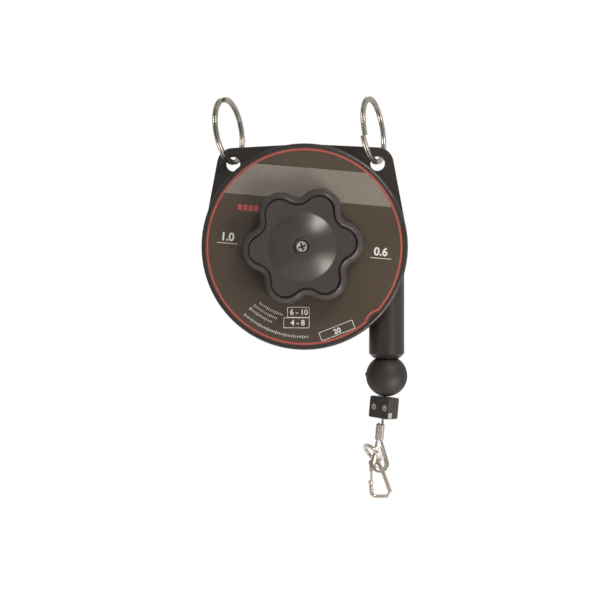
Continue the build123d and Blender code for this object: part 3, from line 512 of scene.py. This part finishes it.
def tilted_print(tree, look, x, z):
    """Sideways and upwards along the label's tilted print."""
    cos, sin = math.cos(look.label_tilt), math.sin(look.label_tilt)
    side = maths(tree, "SUBTRACT", maths(tree, "MULTIPLY", x, cos), maths(tree, "MULTIPLY", z, sin))
    up = maths(tree, "ADD", maths(tree, "MULTIPLY", z, cos), maths(tree, "MULTIPLY", x, sin))
    return side, up


def dot_rows(tree, pitch, side, up):
    """Dots with soft edges, in rows."""
    waves = [maths(tree, "SINE", maths(tree, "MULTIPLY", way, 2 * math.pi / pitch)) for way in (side, up)]
    return ramp(tree, maths(tree, "MULTIPLY", *waves), low=0, high=1, start=0.08, end=0.3)


def dot_band(tree, look, up, past):
    """Where the band of dots lies: between two heights and inside the line."""
    above = maths(tree, "GREATER_THAN", up, look.band_low)
    below = maths(tree, "LESS_THAN", up, look.band_high)
    inside = maths(tree, "LESS_THAN", past, -0.4 * look.line_width)
    return maths(tree, "MULTIPLY", maths(tree, "MULTIPLY", above, below), inside)


def label_material(look):
    """The printed plate: a red line inside its edge and a band of fine pale dots."""
    made, tree, shader, place = start_material("printed label")
    spot = from_axis(tree, place)
    past = past_line(tree, look, spot["X"], spot["Z"])
    off_line = maths(tree, "ABSOLUTE", past)
    half_line = look.line_width / 2
    on_line = ramp(tree, off_line, low=1, high=0, start=half_line, end=half_line + LINE_BLUR * MM)
    line_edge = ramp(tree, off_line, low=0, high=1, start=0.4 * half_line, end=half_line)
    side, up = tilted_print(tree, look, spot["X"], spot["Z"])
    band = dot_band(tree, look, up, past)
    dots = maths(tree, "MULTIPLY", dot_rows(tree, look.dot_pitch, side, up), band)

    grained = grain(tree, place, Grain=2200.0, Patch=25.0)
    marks = scuffs(tree, place, Scale=90.0, Amount=0.12)
    plate = tuple(look.label_colour)
    body = mixed(tree, grained["Patches"], shade(plate, 0.93), shade(plate, 1.07))
    body = mixed(tree, maths(tree, "MULTIPLY", band, 0.35), body, shade(plate, 1.5))
    body = mixed(tree, dots, body, tuple(look.dot_colour))
    red = mixed(tree, line_edge, tuple(look.line_colour), shade(look.line_colour, 0.55))
    body = mixed(tree, on_line, body, red)
    body = mixed(tree, marks["Scratches"], body, (0.35, 0.33, 0.31))
    tree.links.new(body, shader.inputs["Base Color"])
    tree.links.new(ramp(tree, marks["Smudges"], low=0.42, high=0.55), shader.inputs["Roughness"])
    printed = maths(tree, "MAXIMUM", dots, on_line)
    bump(tree, shader, maths(tree, "MULTIPLY_ADD", grained["Height"], 0.3, printed), relief=0.01)
    return made


def plastic_finishes(look):
    """The painted, moulded and printed finishes, by name."""
    casing = tuple(look.casing_colour)
    knob = tuple(look.knob_colour)
    red = tuple(look.line_colour)
    return {
        "casing": coated("casing paint", casing, 0.42, 1900.0, relief=0.06, coat=0.15),
        "knob": coated("knob plastic", knob, 0.34, 2600.0, relief=0.012, patch=0.06),
        "clamp": coated("clamp plastic", (0.037, 0.028, 0.024), 0.36, 2600.0, relief=0.02),
        "rubber": coated("ball rubber", (0.0232, 0.0166, 0.0138), 0.6, 1800.0, relief=0.03, patch=0.15),
        # Near black, for the rings of painted shade round the clamp's screws
        "rim": coated("painted shade rim", (0.008, 0.007, 0.007), 0.6, 2600.0, relief=0.01),
        "drum": coated("natural nylon", (0.6, 0.57, 0.5), 0.45, 1500.0, relief=0.02, patch=0.05),
        "print": coated("white print", (0.72, 0.7, 0.67), 0.5, 2600.0, relief=0.004, patch=0.05),
        "red_print": coated("red print", red, 0.5, 2600.0, relief=0.004, patch=0.05),
        "label": label_material(look),
    }


def metal_finishes():
    """The plated, turned and pressed metals, by name."""
    return {
        "nickel": metal("nickel plate", (0.80, 0.71, 0.62), 0.2, tarnish=0.3, metallic=0.85),
        "ring_nickel": metal("worn nickel", (0.62, 0.56, 0.49), 0.2, tarnish=0.45, metallic=0.95),
        "zinc": metal("bright zinc", (0.72, 0.66, 0.6), 0.34, metallic=0.6),
        "knob_screw": screw_material(),
        "steel": metal("turned steel", (0.52, 0.51, 0.5), 0.28, stretch=(1, 20, 1)),
        "spring_steel": metal("blued spring steel", (0.2, 0.21, 0.25), 0.3),
        "bronze": metal("sintered bronze", (0.5, 0.3, 0.12), 0.45, relief=0.03),
        "ferrule": metal("pressed aluminium", (0.47, 0.41, 0.37), 0.48, relief=0.03, metallic=0.6),
        "rope": rope_material(),
    }


# Mesh tools

def finished(name, mesh, material, body, sharp=40):
    """A piece made from a mesh that is in its place, riding on a body if one is named."""
    mesh.name = name
    mesh.shade_smooth()
    mesh.set_sharp_from_angle(angle=math.radians(sharp))
    mesh.materials.clear()
    mesh.materials.append(FINISHES[material])
    piece = bpy.data.objects.new(name, mesh)
    bpy.context.scene.collection.objects.link(piece)
    if body:
        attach(piece, body)
    return piece


def from_bmesh(bm, place):
    """A mesh from a bmesh, with its normals outwards and its place in its vertices."""
    bmesh.ops.recalc_face_normals(bm, faces=bm.faces[:])
    bmesh.ops.transform(bm, matrix=place, verts=bm.verts[:])
    mesh = bpy.data.meshes.new("piece")
    bm.to_mesh(mesh)
    bm.free()
    return mesh


def from_curve(curve):
    """A mesh from a curve or a text, which is removed."""
    holder = bpy.data.objects.new(curve.name, curve)
    bpy.context.scene.collection.objects.link(holder)
    view = bpy.context.evaluated_depsgraph_get()
    mesh = bpy.data.meshes.new_from_object(holder.evaluated_get(view))
    bpy.data.objects.remove(holder)
    bpy.data.curves.remove(curve)
    return mesh


def open_edges(bm):
    """The edges that have only one face."""
    return [edge for edge in bm.edges if edge.is_boundary]


def add_bar(bm, width, height, place, half=PRINT_HALF):
    """A flat bar of the given half thickness, added to a bmesh."""
    bar = bmesh.ops.create_cube(bm, size=1.0)["verts"]
    bmesh.ops.scale(bm, vec=Vector((width, height, 2 * half)) * MM, verts=bar)
    bmesh.ops.transform(bm, matrix=place, verts=bar)


def add_ring(bm, radius, wire_r, place, cuts=96):
    """A round wire ring about its own z axis, with its sizes in metres, added to a bmesh."""
    wire = bmesh.ops.create_circle(bm, segments=10, radius=wire_r)["verts"]
    bmesh.ops.rotate(bm, cent=(0, 0, 0), matrix=turned(90, "X").to_3x3(), verts=wire)
    bmesh.ops.translate(bm, vec=(radius, 0, 0), verts=wire)
    edges = list({edge for vert in wire for edge in vert.link_edges})
    before = set(bm.verts)
    bmesh.ops.spin(bm, geom=wire + edges, cent=(0, 0, 0), axis=(0, 0, 1), angle=2 * math.pi, steps=cuts,
                   use_merge=True)
    made = wire + [vert for vert in bm.verts if vert not in before]
    bmesh.ops.transform(bm, matrix=place, verts=made)


def at(x, y, turn=0.0):
    """A place on the label plate."""
    return shifted(x, y, 0) @ turned(turn, "Z")


def add_numbers(bm, text, size, place):
    """Plain numbers of thin print, added to a bmesh."""
    curve = bpy.data.curves.new("numbers", "FONT")
    curve.body = text
    curve.size = size * MM
    curve.extrude = PRINT_HALF * MM
    curve.offset = size * MM * NUMBER_BOLD
    curve.align_x = curve.align_y = "CENTER"
    mesh = from_curve(curve)
    mesh.transform(place)
    bm.from_mesh(mesh)
    bpy.data.meshes.remove(mesh)


def spaced(route, step):
    """Points at even steps along a route of straight runs."""
    points = [route[0].copy()]
    left = step
    for start, end in zip(route, route[1:]):
        run = (end - start).length
        done = 0.0
        while run - done >= left:
            done += left
            points.append(start.lerp(end, done / run))
            left = step
        left -= run - done
    return points


def strand_lines(points, strands, reach, turns):
    """The middle lines of strands that wind round a row of points, by so many turns a point."""
    lines = [[] for _ in range(strands)]
    across = Vector((0, 1, 0))
    for index, point in enumerate(points):
        before = points[max(index - 1, 0)]
        after = points[min(index + 1, len(points) - 1)]
        ahead = (after - before).normalized()
        across = (across - ahead * across.dot(ahead)).normalized()
        other = ahead.cross(across)
        for number, line in enumerate(lines):
            angle = 2 * math.pi * (index * turns + number / strands)
            line.append(point + (across * math.cos(angle) + other * math.sin(angle)) * reach)
    return lines


def stranded(route, strands, rope_r, step):
    """A mesh of round strands laid in a helix along a route, all in metres."""
    strand_r = STRAND_SWELL * rope_r / (1 + 1 / math.sin(math.pi / strands))
    curve = bpy.data.curves.new("strands", "CURVE")
    curve.dimensions = "3D"
    curve.bevel_depth = strand_r
    curve.bevel_resolution = 2
    curve.use_fill_caps = True
    for line in strand_lines(spaced(route, step), strands, rope_r - strand_r, step / (ROPE_LAY * MM)):
        spline = curve.splines.new("POLY")
        spline.points.add(len(line) - 1)
        for item, spot in zip(spline.points, line):
            item.co = (*spot, 1)
    return from_curve(curve)


def fan(start, end, count):
    """Evenly spread angles in radians, from a start to an end in degrees."""
    return [math.radians(start + (end - start) * index / count) for index in range(count + 1)]


def arc(centre, radius, start, end, count):
    """Points on an arc in a flat frame."""
    ways = [Vector((math.cos(angle), math.sin(angle), 0)) for angle in fan(start, end, count)]
    return [Vector((*centre, 0)) + radius * way for way in ways]


def half_oval(size, start, end, count):
    """Points on half an oval of the given half widths."""
    wide, deep = size
    return [Vector((wide * math.cos(angle), deep * math.sin(angle))) for angle in fan(start, end, count)]


def eye_route():
    """The middle of the rope round its eye, in the eye's frame."""
    half = ROPE_PAIR / 2
    right = [Vector((half, -EYE_NECK, 0)), Vector((half + EYE_SPREAD, -2 * EYE_NECK, 0))]
    left = [Vector((-spot.x, spot.y, 0)) for spot in reversed(right)]
    loop = arc((0, -EYE_DROP), EYE_R, EYE_WRAP, -180 - EYE_WRAP, EYE_CUTS)
    return [spot * MM for spot in right + loop + left]


def closed_loop(bm, points):
    """A closed loop of edges through points, added to a bmesh."""
    verts = [bm.verts.new(point) for point in points]
    return [bm.edges.new(pair) for pair in zip(verts, verts[1:] + verts[:1])]


def drawn(bm, rings):
    """A skin drawn from each ring of points to the next."""
    edges = closed_loop(bm, rings[0])
    loop = [edge.verts[0] for edge in edges]
    for points in rings[1:]:
        made = bmesh.ops.extrude_edge_only(bm, edges=edges)["geom"]
        fresh = {item for item in made if isinstance(item, bmesh.types.BMVert)}
        moved = []
        for vert, point in zip(loop, points):
            others = [edge.other_vert(vert) for edge in vert.link_edges]
            partner = next(other for other in others if other in fresh)
            partner.co = point
            moved.append(partner)
        loop = moved
        edges = [bm.edges.get(pair) for pair in zip(loop, loop[1:] + loop[:1])]


# Label print

def label_numbers(tilt):
    """Plain numbers at the label's sides and in its lower part."""
    numbers = bmesh.new()
    for text, x, y in SIDE_NUMBERS:
        add_numbers(numbers, text, SIDE_NUMBER, at(x, y, tilt))
    for text, size, x, y, turn in LOWER_NUMBERS:
        add_numbers(numbers, text, size, at(x, y, turn))
    finished("label_numbers", from_bmesh(numbers, PLATE), "print", "casing")


def label_frames(tilt):
    """Lines under the side numbers, and frames in the lower part."""
    lines = bmesh.new()
    for _, x, y in SIDE_NUMBERS:
        add_bar(lines, *UNDERLINE, at(x, y - UNDERLINE_DROP, tilt))
    for x, y, width, height, turn in NUMBER_FRAMES:
        middle = at(x, y, turn)
        for side in (-1, 1):
            add_bar(lines, width, FRAME_LINE, middle @ at(0, side * height / 2))
            add_bar(lines, FRAME_LINE, height, middle @ at(side * width / 2, 0))
    finished("label_frames", from_bmesh(lines, PLATE), "print", "casing")


def label_scale_marks():
    """Rows of short and long scale marks round the label's lower left."""
    marks = bmesh.new()
    for radius, first, last in SCALE_ROWS:
        step = math.degrees(SCALE_STEP / radius)
        for count in range(int((last - first) / step)):
            tall = LONG_MARK if count % LONG_EVERY == 0 else SHORT_MARK
            spot = turned(first + count * step, "Z") @ at(radius, 0, 90)
            add_bar(marks, MARK_WIDE, tall, spot)
    finished("label_scale_marks", from_bmesh(marks, PLATE), "print", "casing")


def label_red_marks(tilt):
    """A short row of red marks at the label's upper left."""
    red = bmesh.new()
    for count in range(RED_MARKS):
        x = RED_START[0] + RED_STEP[0] * count
        y = RED_START[1] + RED_STEP[1] * count
        add_bar(red, *RED_SIZE, at(x, y, tilt))
    finished("label_red_marks", from_bmesh(red, PLATE), "red_print", "casing")


# Rings, knob and rope end

def ring_place(side):
    """Where a split ring stands: its centre, its plane and where its wire starts."""
    other = RING_NORMAL.cross(RING_UP).normalized()
    plane = Matrix((RING_UP, other, RING_NORMAL)).transposed().to_4x4()
    return shifted(*RING_CENTRES[side]) @ plane @ turned(RING_START[side], "Z")


def ring_wire():
    """Flat wire with rounded edges, wound in a close coil."""
    bm = bmesh.new()
    section = bmesh.ops.create_grid(bm, x_segments=1, y_segments=1, size=0.5)["verts"]
    bmesh.ops.scale(bm, vec=(RING_WIDE * MM, RING_THICK * MM, 1), verts=section)
    bmesh.ops.bevel(bm, geom=section, affect="VERTICES", offset=RING_ROUND * MM, segments=4, profile=0.5,
                    material=-1)
    bmesh.ops.rotate(bm, cent=(0, 0, 0), matrix=turned(90, "X").to_3x3(), verts=bm.verts[:])
    bmesh.ops.translate(bm, vec=(RING_TURN_R * MM, 0, -RING_PITCH * MM), verts=bm.verts[:])
    bmesh.ops.delete(bm, geom=bm.faces[:], context="FACES_ONLY")
    rise = RING_TURNS * RING_PITCH * MM / RING_CUTS
    bmesh.ops.spin(bm, geom=bm.verts[:] + bm.edges[:], cent=(0, 0, 0), axis=(0, 0, 1), dvec=(0, 0, rise),
                   angle=RING_TURNS * 2 * math.pi, steps=RING_CUTS)
    bmesh.ops.holes_fill(bm, edges=open_edges(bm))
    return bm


def lobed_points(inset, height):
    """The knob's outline of lobe and valley arcs, moved inwards, at one height."""
    half = 180 / LOBES
    valley_c = VALLEY_REACH + VALLEY_R
    across = valley_c * math.cos(math.radians(half))
    up = valley_c * math.sin(math.radians(half))
    top = LOBE_REACH ** 2 + valley_c ** 2 - VALLEY_R ** 2 - 2 * LOBE_REACH * across
    lobe_r = top / (2 * (LOBE_REACH + VALLEY_R - across))
    lobe_c = LOBE_REACH - lobe_r
    meet = math.degrees(math.atan2(up, across - lobe_c))
    lobe = arc((lobe_c, 0), lobe_r - inset, -meet, meet, LOBE_CUTS)
    valley = arc((across, up), VALLEY_R + inset, 180 + meet, 180 + 2 * half - meet, VALLEY_CUTS)
    points = []
    for index in range(LOBES):
        turn = turned(LOBE_TURN + 2 * half * index, "Z")
        points += [turn @ spot for spot in lobe[:-1] + valley[:-1]]
    return [Vector((spot.x, spot.y, height)) * MM for spot in points]


def round_points(radius, height):
    """A circle with its points on the same rays as the lobed outline's."""
    rays = [Vector((spot.x, spot.y)).normalized() * radius for spot in lobed_points(0, 0)]
    return [Vector((ray.x, ray.y, height)) * MM for ray in rays]


def knob_rings():
    """The knob's cuts, from its rim over the dome and the well to the bores and the wall inside."""
    rim = [lobed_points(inset, height) for inset, height in KNOB_RIM]
    cuts = list(DOME_FOOT)
    for radius in DOME_CUTS:
        cuts.append((radius, KNOB_FACE + DOME_RISE * (1 - (radius / DOME_R) ** DOME_SWELL)))
    top = cuts[-1][1]
    cuts += [(WELL_R + out, top - down) for out, down in WELL_MOUTH]
    cuts += KNOB_BORE
    middle = [round_points(radius, height) for radius, height in cuts]
    return rim + middle + [lobed_points(KNOB_WALL, KNOB_CEILING), rim[0]]


def liner_rings():
    """The eye liner's cuts, along the inside of the rope."""
    out = LINER_OUTSIDE[1]
    groove = LINER_GROOVE[1]
    section = [Vector((-LINER_LIP, out))] + half_oval(LINER_OUTSIDE, 90, -90, LINER_CUTS)
    section += [Vector((-LINER_LIP, -out)), Vector((-LINER_LIP, -groove))]
    section += half_oval(LINER_GROOVE, -90, 90, GROOVE_CUTS) + [Vector((-LINER_LIP, groove))]
    route = [spot for spot in spaced(eye_route(), LINER_STEP * MM) if spot.y < LINER_TOP * MM]
    rings = []
    for index, spot in enumerate(route):
        ahead = route[min(index + 1, len(route) - 1)] - route[max(index - 1, 0)]
        inward = Vector((ahead.y, -ahead.x, 0)).normalized()
        rings.append([spot + (inward * cut.x + Vector((0, 0, cut.y))) * MM for cut in section])
    return rings


def spout_joint_line():
    """The dark line where the collar meets the spout."""
    bm = bmesh.new()
    low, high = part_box("guide_nozzle")
    middle = (low + high) / 2
    radius = (high.x - low.x) / 2 - JOINT_SINK * MM
    add_ring(bm, radius, JOINT_R * MM, Matrix.Translation((middle.x, middle.y, low.z + COLLAR * MM)))
    finished("spout_joint_line", from_bmesh(bm, Matrix.Identity(4)), "clamp", "casing")


def clamp_screw_shade_rims():
    """Dark rings of painted shade round the clamp's two screws, where their sunk recesses are shaded."""
    bm = bmesh.new()
    face = shifted(0, -CLAMP_DROP, 0) @ turned(CLAMP_YAW, "Y")
    radius = (CLAMP_HEAD_R + SCREW_RIM_OUT) * MM
    for side in (-1, 1):
        place = face @ shifted(side * CLAMP_SCREW_PITCH / 2, 0, CLAMP_DEPTH / 2)
        add_ring(bm, radius, SCREW_RIM_R * MM, place)
    finished("clamp_screw_shade_rims", from_bmesh(bm, BALL_FRAME), "rim", "rope_end")


def ball_seam(radius):
    """The thin mould seam round the ball."""
    bm = bmesh.new()
    add_ring(bm, radius - SEAM_SINK * MM, SEAM_R * MM, Matrix.Identity(4), SEAM_CUTS)
    place = Matrix.Translation(BALL_CENTRE) @ turned(SEAM_LEAN, "Y")
    finished("ball_seam", from_bmesh(bm, place), "rubber", "rope_end")


def ball_gate_mark(radius):
    """The small round stub left by the mould's gate."""
    bm = bmesh.new()
    bmesh.ops.create_cone(bm, cap_ends=True, segments=24, radius1=GATE_LOW_R * MM, radius2=GATE_HIGH_R * MM,
                          depth=GATE_HEIGHT * MM)
    rim = [edge for face in bm.faces if face.normal.z > 0.9 for edge in face.edges]
    bmesh.ops.bevel(bm, geom=rim, affect="EDGES", offset=GATE_BEVEL * MM, segments=3, profile=0.5,
                    material=-1)
    out = Matrix.Translation((0, 0, radius - GATE_SINK * MM))
    place = Matrix.Translation(BALL_CENTRE) @ turned(GATE_TURN, "Y") @ out
    finished("ball_gate_mark", from_bmesh(bm, place), "rubber", "rope_end")


def hanging_rope(strands, low, high):
    """The rope from the drum to the ball, laid straight down the rope span's box."""
    top = Vector(((low.x + high.x) / 2, (low.y + high.y) / 2, high.z))
    bottom = Vector((top.x, top.y, low.z))
    mesh = stranded([top, bottom], strands, (high.x - low.x) / 2, ROPE_STEP * MM)
    line = finished("rope_strands", mesh, "rope", None)
    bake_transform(line)
    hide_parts("rope_span")


def eye_rope(strands, rope_r):
    """The rope from the ball through the clamp and ferrule, round the eye and back up."""
    grip = (FERRULE_LOW + FERRULE_GRIP) * MM
    side = -ROPE_PAIR * MM
    down = [BALL_CENTRE, BALL_FRAME @ Vector((0, grip, 0))]
    back = [BALL_FRAME @ Vector((side, grip, 0)), BALL_FRAME @ Vector((side, STUB_TOP * MM, 0))]
    route = down + [EYE_FRAME @ spot for spot in eye_route()] + back
    mesh = stranded(route, strands, rope_r, EYE_STEP * MM)
    eye = finished("rope_eye_strands", mesh, "rope", "rope_end")
    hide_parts("eye_rope")


# Stage

def two_shaders(tree, mask, lit, shown, output):
    """One shader that lights the object, and one that a mask shows in its place."""
    blend = tree.nodes.new("ShaderNodeMixShader")
    tree.links.new(mask, blend.inputs[0])
    tree.links.new(lit.outputs[0], blend.inputs[1])
    tree.links.new(shown.outputs[0], blend.inputs[2])
    tree.links.new(blend.outputs[0], tree.nodes[output].inputs["Surface"])


def floor_material():
    """A pale floor that is nearly white to the camera and in reflections."""
    made, tree, shader = start_material("pale floor")[:3]
    shader.inputs["Base Color"].default_value = FLOOR_COLOUR
    shader.inputs["Roughness"].default_value = 0.9
    shown = node(tree, "ShaderNodeEmission", Strength=1.0, Color=WHITE)
    paths = tree.nodes.new("ShaderNodeLightPath").outputs
    seen = maths(tree, "MAXIMUM", paths["Is Camera Ray"], paths["Is Glossy Ray"])
    two_shaders(tree, maths(tree, "MULTIPLY", seen, FLOOR_SHOWN), shader, shown, "Material Output")
    return made


def add_floor(scene):
    """The round pale floor, low under the hanging balancer and its rope."""
    bm = bmesh.new()
    bmesh.ops.create_circle(bm, cap_ends=True, segments=96, radius=FLOOR_R)
    mesh = from_bmesh(bm, Matrix.Translation((0, 0, FLOOR_Z)))
    mesh.materials.append(floor_material())
    floor = bpy.data.objects.new("floor", mesh)
    scene.collection.objects.link(floor)


def add_room(scene):
    """Soft light from all round, weaker from the front, and a white background for the camera."""
    world = bpy.data.worlds.new("studio")
    scene.world = world
    world.use_nodes = True
    tree = world.node_tree
    soft = tree.nodes["Background"]
    way = tree.nodes.new("ShaderNodeTexCoord")
    split = tree.nodes.new("ShaderNodeSeparateXYZ")
    tree.links.new(way.outputs["Generated"], split.inputs[0])
    strength = ramp(tree, split.outputs["Y"], low=0.14, high=0.62, start=-0.75, end=0.25)
    tree.links.new(strength, soft.inputs["Strength"])
    soft.inputs["Color"].default_value = ROOM_COLOUR
    shown = node(tree, "ShaderNodeBackground", Strength=1.0, Color=WHITE)
    paths = tree.nodes.new("ShaderNodeLightPath").outputs
    two_shaders(tree, paths["Is Camera Ray"], soft, shown, "World Output")


def add_lamps(scene):
    """Round soft lamps, turned to the drum's axis."""
    for name, spot, size, power, colour in LAMPS:
        lamp = bpy.data.lights.new(name, "AREA")
        lamp.shape = "DISK"
        lamp.size = size
        lamp.energy = power
        lamp.color = colour
        holder = bpy.data.objects.new(name, lamp)
        holder.location = spot
        holder.rotation_euler = (AXIS - holder.location).to_track_quat("-Z", "Y").to_euler()
        scene.collection.objects.link(holder)


def add_camera(scene, look):
    """The camera, level with the drum's axis and a little to the right of it."""
    lens = bpy.data.cameras.new("camera")
    lens.sensor_width = SENSOR
    lens.lens = SENSOR * (look.camera_distance + PRINT_Y) / FRAME_WIDE
    lens.shift_y = FRAME_SHIFT
    lens.clip_start = NEAR
    camera = bpy.data.objects.new("camera", lens)
    away = Vector((math.sin(look.camera_angle), -math.cos(look.camera_angle), 0))
    camera.location = AXIS + Vector((AIM_X, 0, 0)) + look.camera_distance * away
    camera.rotation_euler = (math.pi / 2, 0, look.camera_angle)
    scene.collection.objects.link(camera)
    scene.camera = camera


# Settings

class BalancerLook(bpy.types.PropertyGroup):
    """Colours and sizes of the balancer's finish, in metres and radians."""
    casing_colour: bpy.props.FloatVectorProperty(
        name="Casing", description="Paint of the casing",
        subtype="COLOR", default=(0.0212, 0.0150, 0.0124), min=0, max=1)
    knob_colour: bpy.props.FloatVectorProperty(
        name="Knob", description="Plastic of the knob",
        subtype="COLOR", default=(0.050, 0.0415, 0.0385), min=0, max=1)
    label_colour: bpy.props.FloatVectorProperty(
        name="Label", description="Ground colour of the label plate",
        subtype="COLOR", default=(0.065, 0.0460, 0.0315), min=0, max=1)
    dot_colour: bpy.props.FloatVectorProperty(
        name="Dots", description="Colour of the dot band",
        subtype="COLOR", default=(0.46, 0.42, 0.38), min=0, max=1)
    line_colour: bpy.props.FloatVectorProperty(
        name="Line", description="Line inside the label's edge",
        subtype="COLOR", default=(0.42, 0.084, 0.070), min=0, max=1)
    line_radius: bpy.props.FloatProperty(
        name="Line radius", description="Radius of the line on the label",
        default=0.0564, subtype="DISTANCE")
    line_width: bpy.props.FloatProperty(
        name="Line width", description="Width of the line on the label",
        default=0.0011, subtype="DISTANCE")
    notch_angle: bpy.props.FloatProperty(
        name="Notch angle", description="Direction of the notch from the right",
        default=math.radians(-45.5), subtype="ANGLE")
    notch_centre: bpy.props.FloatProperty(
        name="Notch centre", description="Distance of the notch's centre from the axis",
        default=0.064, subtype="DISTANCE")
    notch_radius: bpy.props.FloatProperty(
        name="Notch line", description="Radius of the line round the notch",
        default=0.0093, subtype="DISTANCE")
    label_tilt: bpy.props.FloatProperty(
        name="Label tilt", description="Turn of the print, clockwise",
        default=math.radians(5), subtype="ANGLE")
    band_low: bpy.props.FloatProperty(
        name="Band low", description="Lower edge of the dot band above the axis",
        default=0.0272, subtype="DISTANCE")
    band_high: bpy.props.FloatProperty(
        name="Band high", description="Upper edge of the dot band above the axis",
        default=0.0457, subtype="DISTANCE")
    dot_pitch: bpy.props.FloatProperty(
        name="Dot pitch", description="Length in which a row of dots repeats",
        default=0.0011, subtype="DISTANCE")
    rope_strands: bpy.props.IntProperty(
        name="Rope strands", description="Strands laid in the wire rope", default=6, min=3, max=8)
    camera_angle: bpy.props.FloatProperty(
        name="Camera angle", description="How far the camera stands to the right",
        default=math.radians(4.2), subtype="ANGLE")
    camera_distance: bpy.props.FloatProperty(
        name="Camera distance", description="Distance of the camera from the axis",
        default=1.00, subtype="DISTANCE")


# Operators

class BALANCER_OT_finishes(bpy.types.Operator):
    """Make the finishes and put them on the balancer's solids"""
    bl_idname = "balancer.finishes"
    bl_label = "Solid finishes"

    def execute(self, context):
        FINISHES.update(plastic_finishes(context.scene.balancer_look))
        FINISHES.update(metal_finishes())
        for part in frame["record"]["subparts"]:
            mesh = frame["nodes"][part["node"]].data
            mesh.materials.clear()
            finish = OTHER_FINISH.get(part["node"], part["material_slot"])
            mesh.materials.append(FINISHES[finish])
        return {"FINISHED"}


class BALANCER_OT_label_print(bpy.types.Operator):
    """Lay plain numbers, frames and scale marks on the label plate"""
    bl_idname = "balancer.label_print"
    bl_label = "Label print"

    def execute(self, context):
        tilt = -math.degrees(context.scene.balancer_look.label_tilt)
        label_numbers(tilt)
        label_frames(tilt)
        label_scale_marks()
        label_red_marks(tilt)
        return {"FINISHED"}


class BALANCER_OT_split_rings(bpy.types.Operator):
    """Wind the two split rings from wire with rounded edges"""
    bl_idname = "balancer.split_rings"
    bl_label = "Split rings"

    def execute(self, context):
        for side in RING_CENTRES:
            mesh = from_bmesh(ring_wire(), ring_place(side))
            ring = finished(f"split_ring_{side}", mesh, "ring_nickel", f"{side}_ring")
            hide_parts(f"ring_{side}")
        return {"FINISHED"}


class BALANCER_OT_knob(bpy.types.Operator):
    """Form the lobed knob with its rolled lip, groove, domed middle, well and ribs"""
    bl_idname = "balancer.knob"
    bl_label = "Tension knob"

    def execute(self, context):
        bm = bmesh.new()
        drawn(bm, knob_rings())
        bmesh.ops.remove_doubles(bm, verts=bm.verts[:], dist=0.001 * MM)
        for index in range(LOBES):
            place = turned(LOBE_TURN + 360 * index / LOBES, "Z") @ shifted(RIB_OUT, 0, RIB_MIDDLE)
            add_bar(bm, RIB_LENGTH, RIB_WIDE, place, half=RIB_HALF)
        knob = finished("lobed_knob", from_bmesh(bm, DRUM), "knob", "arbor", sharp=31)
        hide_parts("tension_knob")
        return {"FINISHED"}


class BALANCER_OT_ball(bpy.types.Operator):
    """Add the stop ball's mould seam and gate mark"""
    bl_idname = "balancer.ball"
    bl_label = "Stop ball marks"

    def execute(self, context):
        radius = (BALL_HIGH.x - BALL_LOW.x) / 2
        ball_seam(radius)
        ball_gate_mark(radius)
        return {"FINISHED"}


class BALANCER_OT_fitting_lines(bpy.types.Operator):
    """Add the joint line above the spout's collar and the dark rings of painted shade round the clamp's
    screws
    """
    bl_idname = "balancer.fitting_lines"
    bl_label = "Fitting lines"

    def execute(self, context):
        spout_joint_line()
        clamp_screw_shade_rims()
        return {"FINISHED"}


class BALANCER_OT_eye_liner(bpy.types.Operator):
    """Bend the bright liner that the rope's eye lies in"""
    bl_idname = "balancer.eye_liner"
    bl_label = "Eye liner"

    def execute(self, context):
        bm = bmesh.new()
        drawn(bm, liner_rings())
        bmesh.ops.holes_fill(bm, edges=open_edges(bm))
        liner = finished("eye_liner", from_bmesh(bm, EYE_FRAME), "nickel", "rope_end")
        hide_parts("eye_thimble")
        return {"FINISHED"}


class BALANCER_OT_rope(bpy.types.Operator):
    """Lay the wire rope's strands from the drum to the eye and its stub"""
    bl_idname = "balancer.rope"
    bl_label = "Wire rope"

    def execute(self, context):
        strands = context.scene.balancer_look.rope_strands
        low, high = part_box("rope_span")
        hanging_rope(strands, low, high)
        eye_rope(strands, (high.x - low.x) / 2)
        return {"FINISHED"}


class BALANCER_OT_stage(bpy.types.Operator):
    """Set the pale floor, the studio light and the camera"""
    bl_idname = "balancer.stage"
    bl_label = "Stage"

    def execute(self, context):
        scene = context.scene
        scene.view_settings.view_transform = "Standard"
        add_floor(scene)
        add_room(scene)
        add_lamps(scene)
        add_camera(scene, scene.balancer_look)
        return {"FINISHED"}


class BALANCER_PT_panel(bpy.types.Panel):
    """The balancer's steps and settings"""
    bl_label = "Balancer"
    bl_idname = "BALANCER_PT_panel"
    bl_space_type = "VIEW_3D"
    bl_region_type = "UI"
    bl_category = "Balancer"

    def draw(self, context):
        for step in STEPS:
            self.layout.operator(step.bl_idname)
        look = context.scene.balancer_look
        for name in BalancerLook.__annotations__:
            self.layout.prop(look, name)


STEPS = (
    BALANCER_OT_finishes,
    BALANCER_OT_label_print,
    BALANCER_OT_split_rings,
    BALANCER_OT_knob,
    BALANCER_OT_ball,
    BALANCER_OT_fitting_lines,
    BALANCER_OT_eye_liner,
    BALANCER_OT_rope,
    BALANCER_OT_stage,
)
CLASSES = (BalancerLook, *STEPS, BALANCER_PT_panel)


def register():
    """Register the settings, the steps and the panel."""
    for item in CLASSES:
        bpy.utils.register_class(item)
    bpy.types.Scene.balancer_look = bpy.props.PointerProperty(type=BalancerLook)


def unregister():
    """Unregister them again."""
    del bpy.types.Scene.balancer_look
    for item in reversed(CLASSES):
        bpy.utils.unregister_class(item)


def main():
    """Build every piece in order."""
    register()
    bpy.ops.balancer.finishes()
    bpy.ops.balancer.label_print()
    bpy.ops.balancer.split_rings()
    bpy.ops.balancer.knob()
    bpy.ops.balancer.ball()
    bpy.ops.balancer.fitting_lines()
    bpy.ops.balancer.eye_liner()
    bpy.ops.balancer.rope()
    bpy.ops.balancer.stage()
    bpy.context.view_layer.update()


if __name__ == "__main__":
    main()
